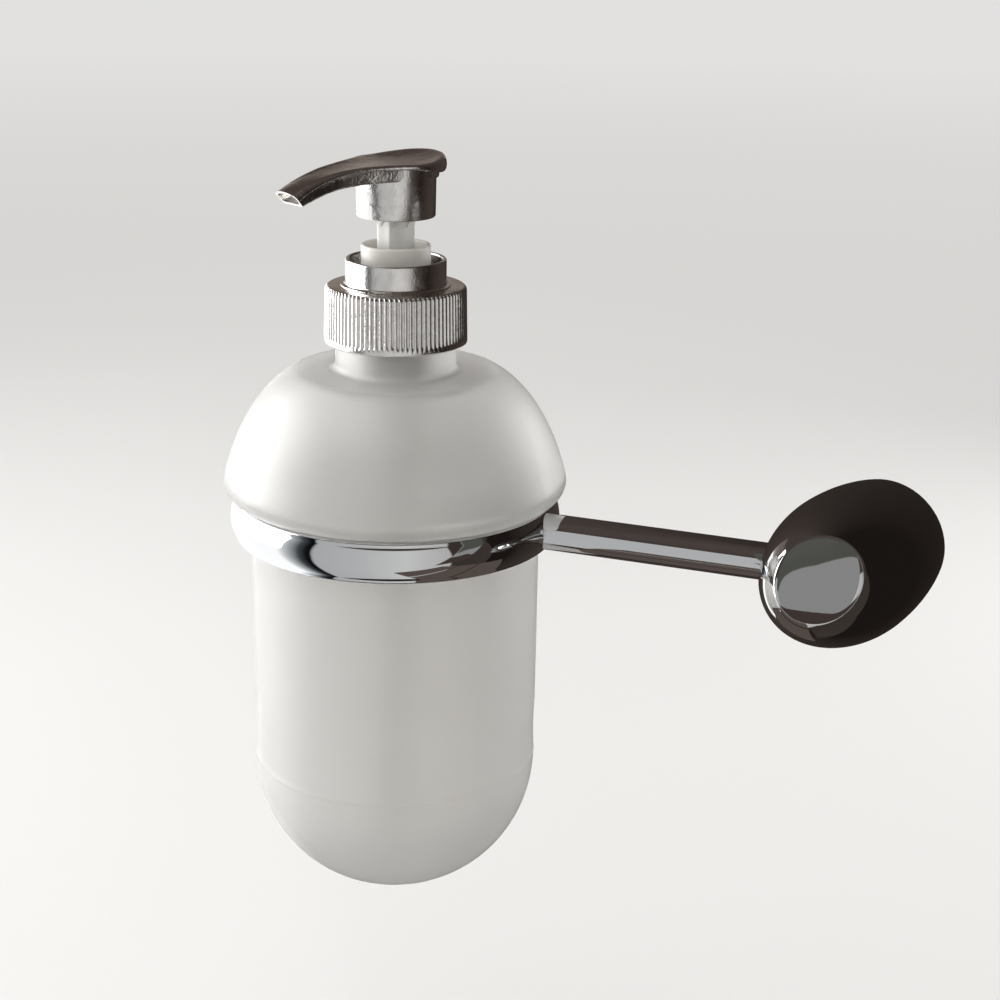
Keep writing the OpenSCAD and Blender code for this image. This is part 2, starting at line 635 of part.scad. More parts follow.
tip_floor_z = plate_top_z - spout_drop - spout_tip_h;
socket_z = tube_top_z + fit_gap + cup_floor + stroke + free_gap;
trough_z = head_z - trough_depth;

function half_width(s) = s <= flank_s
    ? sqrt(max(0, plate_r * plate_r - pow(s + plate_back, 2)))
    : tip_half + (flank_half - tip_half)
        * pow(max(0, 1 - (s - flank_s) / (spout_reach - flank_s)), flank_power);
function fullness(s) = s < -plate_back ? 1 : (half_width(s) - tip_half) / (plate_r - tip_half);
function cover_top(s) = plate_top_z + rim_rise * pow(max(0, -s) / back_reach, rim_power)
    - spout_drop * pow(max(0, s) / spout_reach, top_power);
function cover_foot(s) = cover_top(s) - lip_t
    - curl_depth * pow(max(0, (curl_share * plate_r - s) / (curl_share * plate_r + back_reach)), rim_power);
function tipward(s) = max(0, (s / spout_reach - lean_from_share) / (1 - lean_from_share));
function trough_foot(s) = trough_z - (trough_z - tip_floor_z) * pow(max(0, s) / spout_reach, belly_power);
function lean(s) = tip_lean * tipward(s);
function over(s) = lip_over + (lip_over_tip - lip_over) * tipward(s);

// A section's ring from its right half, given as [x, z] from the top down.
function section(s, half) =
    let (both = concat(half, [for (i = [len(half) - 1:-1:0]) [-half[i][0], half[i][1]]]))
        [for (p = both) [p[0], -s + lean(s) * (cover_top(s) - p[1]), p[1]]];

function cover_ring(s) =
    let (w = half_width(s), t = cover_top(s), b = cover_foot(s), e = min(lip_edge, w / 2, (t - b) / 2),
        c = crown_h * tipward(s), d = dish_depth * sqrt(max(0, fullness(s))) * min(1, w / tip_half))
        section(s, [[w / 4, t - d - c / 16], [max(w / 2, w - 2 * e), t - d * 3 / 4 - c / 4],
            [w - e, t - d / 4 - c / 2], [w - e / 3, t - e / 3 - c * 2 / 3], [w, t - e], [w, b + e / 3],
            [w - e / 3, b]]);
function trough_ring(s, inset) =
    let (w = half_width(max(s, trough_from)) - over(s) - inset, foot = trough_foot(s) + inset,
        top = cover_foot(s) + (inset > 0 ? lip_t / 3 : lip_t / 2))
        section(s, [[w, top], [w, (top + foot) / 2], [w * trough_taper_share, foot]]);

cover_stations = concat(
    [for (i = [1:curve_steps]) -plate_back - plate_r * cos(90 * i / curve_steps)],
    [for (i = [1:4]) -plate_back + (flank_s + plate_back) * i / 4],
    [for (i = [1:spout_steps]) flank_s + (spout_reach - flank_s) * i / spout_steps]);
trough_stations = [for (i = [0:spout_steps]) trough_from + (spout_reach - trough_from) * i / spout_steps];
duct_stations = concat(trough_stations, [spout_reach + overrun]);

module actuator_head() color(chrome) at_bottle() rotate([0, 0, -spout_turn]) difference() {
    union() {
        skin([for (s = cover_stations) cover_ring(s)]);
        skin([for (s = trough_stations) trough_ring(s, 0)]);
        difference() {
            translate([0, 0, skirt_z]) cylinder(r = skirt_r, h = skirt_h + lip_t);
            translate([0, 0, skirt_z - overrun]) cylinder(r = skirt_r - skirt_t, h = skirt_h + overrun);
        }
        translate([0, 0, socket_z]) cylinder(r = stem_r + socket_wall, h = head_z + lip_t - socket_z);
    }
    translate([0, 0, skirt_z]) cylinder(r = stem_r + fit_gap, h = skirt_h + fit_gap);
    translate([0, 0, head_z]) cylinder(r = duct_r, h = lip_t);
    skin([for (s = duct_stations) trough_ring(s, spout_wall)]);
}

wall_bracket();
boss();
boss_cap();
boss_grub_screw();
arm();
arm_clamp_screw();
holder_ring();
ring_screw();
bottle();
closure_shell();
closure_liner();
neck_gasket();
pump_housing();
lock_cup();
ball_cage();
inlet_ball();
dip_tube();
piston_rod();
piston();
return_spring();
outlet_ball();
stem();
actuator_head();
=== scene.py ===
import json
import math

import bmesh
import bpy
from mathutils import Matrix, Vector


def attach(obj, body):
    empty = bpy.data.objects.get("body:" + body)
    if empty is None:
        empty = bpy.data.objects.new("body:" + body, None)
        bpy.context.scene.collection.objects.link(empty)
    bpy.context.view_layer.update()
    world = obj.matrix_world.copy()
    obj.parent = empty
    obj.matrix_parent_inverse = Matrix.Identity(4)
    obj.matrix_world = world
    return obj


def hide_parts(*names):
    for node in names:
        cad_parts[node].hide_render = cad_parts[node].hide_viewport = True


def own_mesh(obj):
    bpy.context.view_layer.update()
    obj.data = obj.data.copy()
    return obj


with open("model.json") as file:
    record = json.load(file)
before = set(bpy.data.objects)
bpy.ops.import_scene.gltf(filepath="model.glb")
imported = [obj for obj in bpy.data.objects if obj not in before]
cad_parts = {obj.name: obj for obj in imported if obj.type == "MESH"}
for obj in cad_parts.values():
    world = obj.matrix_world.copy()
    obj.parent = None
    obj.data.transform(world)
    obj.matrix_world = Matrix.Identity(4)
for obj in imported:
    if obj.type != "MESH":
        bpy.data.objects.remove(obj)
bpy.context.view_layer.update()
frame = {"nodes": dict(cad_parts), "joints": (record.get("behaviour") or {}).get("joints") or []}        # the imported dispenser, in metres, wall face on the plane y = 0
print("frame loaded:", len(frame["nodes"]), "nodes")

mm = 0.001
swivel = next(joint for joint in frame["joints"] if joint["name"] == "head_swivel")
bottleAxis = Vector((swivel["pos_m"][0], swivel["pos_m"][1], 0))
seamMerge = 2e-6         # points closer than this are one point


# The tools for turned and lofted pieces

def startPiece(name, add, **settings):
    # a primitive to begin from, alone in the selection and open in edit mode
    bpy.ops.object.select_all(action="DESELECT")
    add(**settings)
    piece = bpy.context.object
    piece.name = name
    piece.data.name = name
    bpy.ops.object.mode_set(mode="EDIT")
    bpy.ops.mesh.select_mode(type="VERT")
    return piece


def closePiece(piece, smoothAngle=35):
    # doubles merged, stray edges gone, normals out, edges under the angle shaded smooth
    bpy.ops.object.mode_set(mode="EDIT")
    bpy.ops.mesh.select_all(action="SELECT")
    bpy.ops.mesh.remove_doubles(threshold=seamMerge)
    bpy.ops.mesh.delete_loose(use_verts=True, use_edges=True, use_faces=False)
    bpy.ops.mesh.select_all(action="SELECT")
    bpy.ops.mesh.normals_make_consistent(inside=False)
    bpy.ops.object.mode_set(mode="OBJECT")
    bpy.ops.object.shade_smooth_by_angle(angle=math.radians(smoothAngle))
    return piece


def selectOnly(piece):
    bpy.ops.object.select_all(action="DESELECT")
    piece.select_set(True)
    bpy.context.view_layer.objects.active = piece


def applyModifier(piece, kind, **settings):
    selectOnly(piece)
    modifier = piece.modifiers.new(kind.lower(), kind)
    for key, value in settings.items():
        setattr(modifier, key, value)
    bpy.ops.object.modifier_apply(modifier=modifier.name)
    return piece


def cutAway(piece, tool):
    applyModifier(piece, "BOOLEAN", operation="DIFFERENCE", object=tool, solver="EXACT")
    bpy.data.objects.remove(tool)
    return piece


def builtPiece(name, build, smoothAngle=None):
    # a piece made point by point: build fills its mesh
    data = bpy.data.meshes.new(name)
    piece = bpy.data.objects.new(name, data)
    bpy.context.scene.collection.objects.link(piece)
    mesh = bmesh.new()
    build(mesh)
    mesh.to_mesh(data)
    mesh.free()
    selectOnly(piece)
    return closePiece(piece, smoothAngle) if smoothAngle else piece


def joinRings(mesh, lower, upper):
    for i in range(len(lower)):
        j = (i + 1) % len(lower)
        mesh.faces.new((lower[i], lower[j], upper[j], upper[i]))


def joinPieces(name, pieces):
    bpy.ops.object.select_all(action="DESELECT")
    for piece in pieces:
        piece.select_set(True)
    bpy.context.view_layer.objects.active = pieces[0]
    bpy.ops.object.join()
    joined = bpy.context.object
    joined.name = name
    joined.data.name = name
    return joined


def arcPoints(x, z, radius, start, end, steps):
    angles = [math.radians(start + (end - start) * i / steps) for i in range(steps + 1)]
    return [(x + radius * math.cos(a), z + radius * math.sin(a)) for a in angles]


def turnedPiece(name, outline, steps=144, axis=bottleAxis, smoothAngle=35):
    # one point is extruded round a closed outline of (radius, height) in mm, and spun
    piece = startPiece(name, bpy.ops.mesh.primitive_plane_add, size=mm)
    bpy.ops.mesh.select_all(action="SELECT")
    bpy.ops.mesh.merge(type="CENTER")
    start = Vector((outline[0][0], 0, outline[0][1])) * mm
    bpy.ops.transform.translate(value=axis + start)
    for here, there in zip(outline, outline[1:] + outline[:1]):
        step = ((there[0] - here[0]) * mm, 0, (there[1] - here[1]) * mm)
        bpy.ops.mesh.extrude_region_move(TRANSFORM_OT_translate={"value": step})
    bpy.ops.mesh.select_all(action="SELECT")
    bpy.ops.mesh.spin(steps=steps, angle=math.tau, center=axis, axis=(0, 0, 1))
    return closePiece(piece, smoothAngle)


def selectPoints(piece, wanted):
    # in edit mode: exactly the points for which wanted(place) holds
    bpy.ops.mesh.select_mode(type="VERT")
    bpy.ops.mesh.select_all(action="DESELECT")
    mesh = bmesh.from_edit_mesh(piece.data)
    for vert in mesh.verts:
        if wanted(vert.co):
            vert.select = True
    mesh.select_flush_mode()
    bmesh.update_edit_mesh(piece.data)


def turnTo(piece, turn, place=Vector((0, 0, 0))):
    # the mesh itself is turned and set in its place; the object stays at the origin
    piece.data.transform(Matrix.Translation(place) @ turn)
    piece.data.update()
    return piece


# The materials

def linear(hexColour):
    channels = [int(hexColour[i:i + 2], 16) / 255 for i in (1, 3, 5)]
    return [c / 12.92 if c <= 0.04045 else ((c + 0.055) / 1.055) ** 2.4 for c in channels] + [1]


def newMaterial(name, **shaderSettings):
    material = bpy.data.materials.new(name)
    material.use_nodes = True
    shader = material.node_tree.nodes["Principled BSDF"]
    for key, value in shaderSettings.items():
        shader.inputs[key.replace("_", " ")].default_value = value
    return material, shader


def addNode(material, kind, inputs, feeds=None, **settings):
    # inputs are values or sockets; feeds is the socket that the node's first output goes to
    node = material.node_tree.nodes.new(kind)
    for key, value in settings.items():
        setattr(node, key, value)
    for key, value in inputs.items():
        if isinstance(value, bpy.types.NodeSocket):
            material.node_tree.links.new(value, node.inputs[key])
        else:
            node.inputs[key].default_value = value
    if feeds:
        material.node_tree.links.new(node.outputs[0], feeds)
    return node


def perMillimetre(size):
    # a noise texture's scale for features of that size in mm, on coordinates in metres
    return 1 / (size * mm)


def unevenGloss(material, shader, where, size, detail, roughness):
    # the roughness wanders between its two values, in patches of that size in mm
    patches = addNode(material, "ShaderNodeTexNoise",
                      {"Vector": where, "Scale": perMillimetre(size), "Detail": detail})
    low, high = roughness
    addNode(material, "ShaderNodeMapRange", {"Value": patches.outputs["Fac"], "To Min": low, "To Max": high},
            shader.inputs["Roughness"])


# Chrome over nickel on buffed brass: a mirror, with a faint haze left by the buffing wheel
def chromePlate():
    look = {"waveSize": 11, "waveHeight": 0.01, "hazeSize": 2.5, "roughness": (0.03, 0.06)}
    material, shader = newMaterial("polishedChromePlate", Base_Color=linear("#dfe0e1"), Metallic=1)
    where = addNode(material, "ShaderNodeTexCoord", {}).outputs["Object"]
    unevenGloss(material, shader, where, look["hazeSize"], 3, look["roughness"])
    wave = addNode(material, "ShaderNodeTexNoise",
                   {"Vector": where, "Scale": perMillimetre(look["waveSize"]), "Detail": 0})
    addNode(material, "ShaderNodeBump", {"Height": wave.outputs["Fac"], "Distance": look["waveHeight"] * mm},
            shader.inputs["Normal"])
    return material


# Vacuum-metallised ABS: bright, but the lacquer under the metal leaves an orange peel
def metallisedPlastic():
    look = {"peelSize": 0.34, "peelHeight": 0.05, "roughness": (0.08, 0.2), "stainSize": 2.4,
            "stainSpread": (0.3, 0.7), "pitSize": 0.8, "pitHeight": 0.11, "patchSize": 5,
            "patchSpread": (0.48, 0.6), "sweepSize": 9, "sweepHeight": 0.04}
    material, shader = newMaterial("metallisedMouldedPlastic", Metallic=1)
    where = addNode(material, "ShaderNodeTexCoord", {}).outputs["Object"]
    # the lacquer stands in small dull and bright patches, which also tint the metal a little
    stain = addNode(material, "ShaderNodeTexNoise",
                    {"Vector": where, "Scale": perMillimetre(look["stainSize"]), "Detail": 4})
    low, high = look["roughness"]
    least, most = look["stainSpread"]
    addNode(material, "ShaderNodeMapRange", {"Value": stain.outputs["Fac"], "From Min": least,
                                             "From Max": most, "To Min": low, "To Max": high},
            shader.inputs["Roughness"])
    tint = addNode(material, "ShaderNodeMix", {0: stain.outputs["Fac"]}, data_type="RGBA")
    tint.inputs[6].default_value = linear("#f3f1ef")
    tint.inputs[7].default_value = linear("#dbd7d3")
    material.node_tree.links.new(tint.outputs[2], shader.inputs["Base Color"])
    # the shallow sinks of the moulding, and the orange peel on them
    sweep = addNode(material, "ShaderNodeTexNoise",
                    {"Vector": where, "Scale": perMillimetre(look["sweepSize"]), "Detail": 1})
    sink = addNode(material, "ShaderNodeBump", {"Height": sweep.outputs["Fac"],
                                                "Distance": look["sweepHeight"] * mm})
    pits = addNode(material, "ShaderNodeTexNoise",
                   {"Vector": where, "Scale": perMillimetre(look["pitSize"]), "Detail": 2})
    patches = addNode(material, "ShaderNodeTexNoise",
                      {"Vector": where, "Scale": perMillimetre(look["patchSize"]), "Detail": 1})
    least, most = look["patchSpread"]
    patchy = addNode(material, "ShaderNodeMapRange", {"Value": patches.outputs["Fac"], "From Min": least,
                                                      "From Max": most})
    pitHeight = addNode(material, "ShaderNodeMath", {0: pits.outputs["Fac"], 1: patchy.outputs[0]},
                        operation="MULTIPLY")
    pitted = addNode(material, "ShaderNodeBump", {"Height": pitHeight.outputs[0], "Normal": sink.outputs[0],
                                                  "Distance": look["pitHeight"] * mm})
    peel = addNode(material, "ShaderNodeTexNoise",
                   {"Vector": where, "Scale": perMillimetre(look["peelSize"]), "Detail": 3})
    addNode(material, "ShaderNodeBump", {"Height": peel.outputs["Fac"], "Normal": pitted.outputs[0],
                                         "Distance": look["peelHeight"] * mm}, shader.inputs["Normal"])
    return material


# Soda-lime glass, acid-etched outside: milky and soft, with a fine even tooth
def etchedGlass():
    look = {"toothSize": 0.35, "toothHeight": 0.004, "cloudSize": 22, "roughness": (0.36, 0.44)}
    material, shader = newMaterial("acidEtchedGlass", Base_Color=linear("#efeeec"), IOR=1.5,
                                   Transmission_Weight=0.8)
    where = addNode(material, "ShaderNodeTexCoord", {}).outputs["Object"]
    unevenGloss(material, shader, where, look["cloudSize"], 3, look["roughness"])
    tooth = addNode(material, "ShaderNodeTexNoise",
                    {"Vector": where, "Scale": perMillimetre(look["toothSize"]), "Detail": 2})
    addNode(material, "ShaderNodeBump", {"Height": tooth.outputs["Fac"],
                                         "Distance": look["toothHeight"] * mm}, shader.inputs["Normal"])
    return material


# Natural polypropylene, moulded: waxy white that light enters, a little uneven in its gloss
def naturalPolypropylene(name, colour, depth=1.5):
    look = {"flowSize": 4, "roughness": (0.28, 0.42)}
    material, shader = newMaterial(name, Base_Color=linear(colour), IOR=1.49, Subsurface_Weight=0.6,
                                   Subsurface_Scale=depth * mm, Subsurface_Radius=(1, 1, 1),
                                   Transmission_Weight=0.3)
    where = addNode(material, "ShaderNodeTexCoord", {}).outputs["Object"]
    unevenGloss(material, shader, where, look["flowSize"], 3, look["roughness"])
    return material


# Stainless steel: machined screws and drawn wire keep fine lines, balls are lapped smooth
def stainlessSteel(name, roughness, lineSize):
    material, shader = newMaterial(name, Base_Color=linear("#b9b7b3"), Metallic=1)
    where = addNode(material, "ShaderNodeTexCoord", {}).outputs["Object"]
    unevenGloss(material, shader, where, lineSize, 2, roughness)
    return material


# Closed-cell polyethylene foam, skived from a sheet: matt, with cells that just show
def gasketFoam():
    look = {"cellSize": 0.5, "cellHeight": 0.05}
    material, shader = newMaterial("skivedPolyethyleneFoam", Base_Color=linear("#efeee9"), Roughness=0.8)
    where = addNode(material, "ShaderNodeTexCoord", {}).outputs["Object"]
    cells = addNode(material, "ShaderNodeTexVoronoi",
                    {"Vector": where, "Scale": perMillimetre(look["cellSize"])})
    addNode(material, "ShaderNodeBump", {"Height": cells.outputs["Distance"],
                                         "Distance": look["cellHeight"] * mm}, shader.inputs["Normal"])
    return material


chrome = chromePlate()
metallised = metallisedPlastic()
frosted = etchedGlass()
cupPlastic = naturalPolypropylene("naturalPolypropylene", "#dddad5", 1)
stemPlastic = naturalPolypropylene("mouldedPolypropylene", "#efeeea")
innerPlastic = naturalPolypropylene("naturalPolypropyleneCore", "#e9e8e3", 2)
pistonPlastic = naturalPolypropylene("softPolyethylene", "#d9dad8", 1)
screwSteel = stainlessSteel("machinedStainlessSteel", (0.22, 0.38), 0.4)
ballSteel = stainlessSteel("lappedStainlessSteel", (0.06, 0.12), 1.2)
foam = gasketFoam()
print("materials made")


def finishPiece(piece, material, slot, body, *nodes):
    piece.data.materials.clear()
    piece.data.materials.append(material)
    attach(piece, body)
    if nodes:
        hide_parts(*nodes)
    return piece


# The bottle

glassBottle = {
    "bodyRadius": 35, "sphereZ": -62.3, "rimZ": 5.1, "domeEdge": 4, "domeRadius": 41.3,
    "shoulderZ": 35.7, "neckRadius": 14.4, "neckZ": 42.1, "finishZ": 51.4, "rootRadius": 12.6,
    "boreRadius": 9.6, "glass": 3, "domePower": 3.9, "domeRoot": 1.2, "domePeak": 1.12,
    "neckFillet": 2, "bodyFillet": 1.2, "lipRound": 0.6, "domeSteps": 40,
    # the mould's parting line at the body's foot, and how the body draws in a little over it
    "seamHeight": 0.07, "seamWidth": 0.22, "seamShares": ((-1, 0), (-0.4, 1), (0.4, 1), (1, 0)),
    "footPower": 2.07, "footSteps": 45, "waist": 0.18, "waistReach": 14, "waistSteps": 8,
    "threadPitch": 4.23, "threadHeight": 1.2, "threadStretch": 1.4, "threadTurns": 1.47, "threadStart": 1.55,
    "threadSteps": 100,
}


def domeSide(size, inset):
    domeZ = size["rimZ"] + size["domeEdge"]
    fullHeight = (size["shoulderZ"] - domeZ) * size["domePeak"]
    start = size["neckRadius"] + size["neckFillet"]
    points = []
    for i in range(size["domeSteps"] + 1):
        turn = math.pi / 2 * i / size["domeSteps"]
        r = start + (size["domeRadius"] - start) * math.cos(turn)
        bulge = max(0, 1 - (r / size["domeRadius"]) ** size["domePower"])
        z = min(size["shoulderZ"], domeZ + fullHeight * bulge ** (1 / size["domeRoot"]))
        points.append((r - inset * math.cos(turn) ** 0.5, z - inset * math.sin(turn)))
    return points


def bottleFoot(size):
    # a little fuller than a half ball, from the bottom's middle up to the side
    power, radius, steps = 2 / size["footPower"], size["bodyRadius"], size["footSteps"]
    foot = []
    for i in range(steps):
        turn = math.pi / 2 * (1 - i / steps)
        foot.append((radius * math.cos(turn) ** power,
                     size["sphereZ"] - radius * max(0, math.sin(turn)) ** power))
    foot[0] = (0, foot[0][1])
    return foot


def bottleBody(size):
    outside = bottleFoot(size)
    radius, seamZ = size["bodyRadius"], size["sphereZ"]
    for share, height in size["seamShares"]:
        outside.append((radius + height * size["seamHeight"], seamZ + share * size["seamWidth"]))
    steps = size["waistSteps"]
    for i in range(1, steps + 1):
        drawn = size["waist"] * math.sin(math.pi * i / steps)
        outside.append((radius - drawn, seamZ + size["seamWidth"] + size["waistReach"] * i / steps))
    outside += arcPoints(size["bodyRadius"] + size["bodyFillet"], size["rimZ"] - size["bodyFillet"],
                         size["bodyFillet"], 180, 90, 6)
    outside += arcPoints(size["domeRadius"] - size["domeEdge"], size["rimZ"] + size["domeEdge"],
                         size["domeEdge"], 270, 352, 14)
    outside += domeSide(size, 0)
    outside += arcPoints(size["neckRadius"] + size["neckFillet"], size["shoulderZ"] + size["neckFillet"],
                         size["neckFillet"], 262, 180, 8)
    lip = size["lipRound"]
    outside += arcPoints(size["neckRadius"] - lip, size["neckZ"] - lip, lip, 0, 90, 4)
    outside += [(size["rootRadius"], size["neckZ"])]
    outside += arcPoints(size["rootRadius"] - lip, size["finishZ"] - lip, lip, 0, 90, 5)
    inside = arcPoints(size["boreRadius"] + lip, size["finishZ"] - lip, lip, 90, 180, 5)
    fillet = size["neckFillet"]
    inside += arcPoints(size["boreRadius"] + fillet, size["shoulderZ"] - size["glass"] + fillet, fillet,
                        180, 262, 8)
    inside += domeSide(size, size["glass"])[::-1]
    inside += arcPoints(size["bodyRadius"] - size["glass"] + size["domeEdge"],
                        size["rimZ"] + size["glass"] + size["domeEdge"], size["domeEdge"], 262, 180, 8)
    inside += arcPoints(0, size["sphereZ"], size["bodyRadius"] - size["glass"], 360, 270, 30)
    return turnedPiece("bottleGlass", outside + inside, steps=180, smoothAngle=50)


def bottleThread(size):
    # a flat ring of six points is wound up the finish by a screw modifier
    thread = startPiece("bottleThread", bpy.ops.mesh.primitive_circle_add, vertices=6,
                        radius=size["threadHeight"] / 2 * mm)
    bpy.ops.mesh.select_all(action="SELECT")
    bpy.ops.transform.rotate(value=math.pi / 2, orient_axis="X", center_override=(0, 0, 0))
    bpy.ops.transform.resize(value=(1, 1, size["threadStretch"]))
    bpy.ops.transform.translate(value=((size["rootRadius"] + size["threadHeight"] / 2) * mm, 0,
                                       (size["neckZ"] + size["threadStart"]) * mm))
    bpy.ops.object.mode_set(mode="OBJECT")
    applyModifier(thread, "SCREW", angle=math.tau * size["threadTurns"],
                  screw_offset=size["threadPitch"] * size["threadTurns"] * mm, steps=size["threadSteps"],
                  render_steps=size["threadSteps"])
    thread.data.transform(Matrix.Translation(bottleAxis))
    bpy.ops.object.mode_set(mode="EDIT")
    bpy.ops.mesh.select_all(action="SELECT")
    bpy.ops.mesh.fill_holes(sides=0)
    bpy.ops.object.mode_set(mode="OBJECT")
    return closePiece(thread)


bottle = joinPieces("bottleGlass", [bottleBody(glassBottle), bottleThread(glassBottle)])
finishPiece(bottle, frosted, "frosted_glass", "bottle", "bottle")
print("bottle made")


# The ring, the arm and their screw's seat

ringAndArm = {
    "innerRadius": 35.7, "wall": 3, "swell": 1.2, "height": 9.8, "edge": 0.7,
    "armRadius": 4.35, "armReach": 108.7, "armTail": 4, "armAngle": 12.7, "armBevel": 0.25,
    "armBite": 1, "armStations": 8, "screwRadius": 2.5, "screwHeadRadius": 4.25, "seatFlare": 2,
    "seatDepth": 0.25, "seatReach": 10, "clearance": 0.05,
}


def ringOutline(size, gap=0):
    outer = size["innerRadius"] + size["wall"] + gap
    half = size["height"] / 2 + gap
    edge = size["edge"]
    inner = size["innerRadius"] - gap
    points = arcPoints(inner + edge / 2, -half + edge / 2, edge / 2, 180, 270, 4)
    points += arcPoints(outer - edge, -half + edge, edge, 270, 340, 6)
    for i in range(-15, 16):
        share = i / 16
        points.append((outer + size["swell"] * (1 - share * share), share * (half - edge)))
    points += arcPoints(outer - edge, half - edge, edge, 20, 90, 6)
    points += arcPoints(inner + edge / 2, half - edge / 2, edge / 2, 90, 180, 4)
    return points


def armDirection(size):
    turn = Matrix.Rotation(math.radians(size["armAngle"]), 4, "Z")
    return turn @ Matrix.Rotation(math.pi / 2, 4, "Y")     # local Z runs from the bottle to the boss


def boreTool(size, outline):
    tool = turnedPiece("boreTool", outline, steps=48, axis=Vector((0, 0, 0)))
    return turnTo(tool, armDirection(size), bottleAxis)


def holderRing(size):
    ring = turnedPiece("holderRing", ringOutline(size), steps=256, smoothAngle=50)
    inner, head, flare = size["innerRadius"], size["screwHeadRadius"], size["seatFlare"]
    bore, end = size["screwRadius"] + size["clearance"], inner + size["seatReach"]
    seat = [(0, inner - flare), (head + flare, inner - flare), (head, inner + size["seatDepth"]),
            (bore, inner + flare), (bore, end), (0, end)]
    return cutAway(ring, boreTool(size, seat))


def supportArm(size):
    reach, bevel, radius = size["armReach"] + size["armTail"], size["armBevel"], size["armRadius"]
    start, stations = size["innerRadius"] + size["wall"] - size["armBite"], size["armStations"]
    outline = [(size["screwRadius"], start), (radius, start)]
    outline += [(radius, start + (reach - start) * i / stations) for i in range(1, stations)]
    outline += [(radius, reach - bevel), (radius - bevel, reach), (size["screwRadius"], reach)]
    arm = turnTo(turnedPiece("supportArm", outline, steps=96, axis=Vector((0, 0, 0))),
                 armDirection(size), bottleAxis)
    cutAway(arm, turnedPiece("ringTool", ringOutline(size, size["clearance"]), steps=256))
    return closePiece(arm, 30)


ring = finishPiece(holderRing(ringAndArm), chrome, "chromed_brass", "holder", "holder_ring")
arm = finishPiece(supportArm(ringAndArm), chrome, "chromed_brass", "holder", "arm")
print("ring and arm made")


# The boss and its cap: one egg, parted along a tilted facet

eggBoss = {
    "radius": 17.3, "wallRadius": 15, "belly": 20.6, "nose": 30, "facetCut": 3.7, "facetTurn": 21.5,
    "facetTilt": 26, "capFoot": 0.1, "seam": 0.09, "seamRound": 0.12, "edgeRise": 0.42, "edgePower": 7,
    "seamShare": 0.3, "seamLift": 0.025, "seamDepth": 0.08, "capFootShares": (0.985, 0.998), "capLift": 0.03,
    "capPower": 1.6, "crown": 0.42, "around": 220, "rings": 130, "capRings": 44,
    "bracketRadius": 12.05, "bracketDepth": 6.3, "armGap": 0.12, "armHole": (30, 4.3),
    "grubRadius": 2.05, "grubY": 3, "grubReach": 20, "overrun": 1,
}
facetTurn, facetTilt = math.radians(eggBoss["facetTurn"]), math.radians(eggBoss["facetTilt"])
facetNormal = Vector((math.sin(facetTurn) * math.cos(facetTilt), -math.cos(facetTurn) * math.cos(facetTilt),
                      math.sin(facetTilt)))
eggReach = Vector((eggBoss["radius"] * facetNormal.x, eggBoss["nose"] * facetNormal.y,
                   eggBoss["radius"] * facetNormal.z))
# where the facet's middle lies on the round ball that the egg is drawn from
eggPole = eggReach.normalized()


def eggRing(size, lean):
    # one ring of the egg, in mm, at that angle from the pole; its plane is parallel to the facet
    across = eggPole.cross(Vector((0, 0, 1))).normalized()
    up = eggPole.cross(across)
    radius, belly = size["radius"], size["belly"]
    tail = belly / math.sqrt(1 - (size["wallRadius"] / radius) ** 2)
    ring = []
    for i in range(size["around"]):
        turn = math.tau * i / size["around"]
        ball = eggPole * math.cos(lean) + (across * math.cos(turn) + up * math.sin(turn)) * math.sin(lean)
        length = size["nose"] if ball.y < 0 else tail
        ring.append(Vector((ball.x * radius, ball.y * length - belly, ball.z * radius)))
    return ring


def leanAt(size, offset):
    # the angle from the pole of the ring that lies that far out from the facet's plane
    return math.acos((eggReach.length - size["facetCut"] + offset) / eggReach.length)


def drawnIn(ring, share, lift=0.0):
    middle = sum(ring, Vector()) / len(ring)
    return [middle + (point - middle) * share + facetNormal * lift for point in ring]


def ringLoft(name, rings, smoothAngle):
    # rings of points in mm, joined one to the next; the first is closed flat and the last to its middle
    def build(mesh):
        rows = [[mesh.verts.new(point * mm) for point in ring] for ring in rings]
        for lower, upper in zip(rows, rows[1:]):
            joinRings(mesh, lower, upper)
        mesh.faces.new(rows[0])
        last = rows[-1]
        middle = mesh.verts.new(sum(rings[-1], Vector()) / len(last) * mm)
        for i in range(len(last)):
            mesh.faces.new((last[i], last[(i + 1) % len(last)], middle))
    return builtPiece(name, build, smoothAngle)


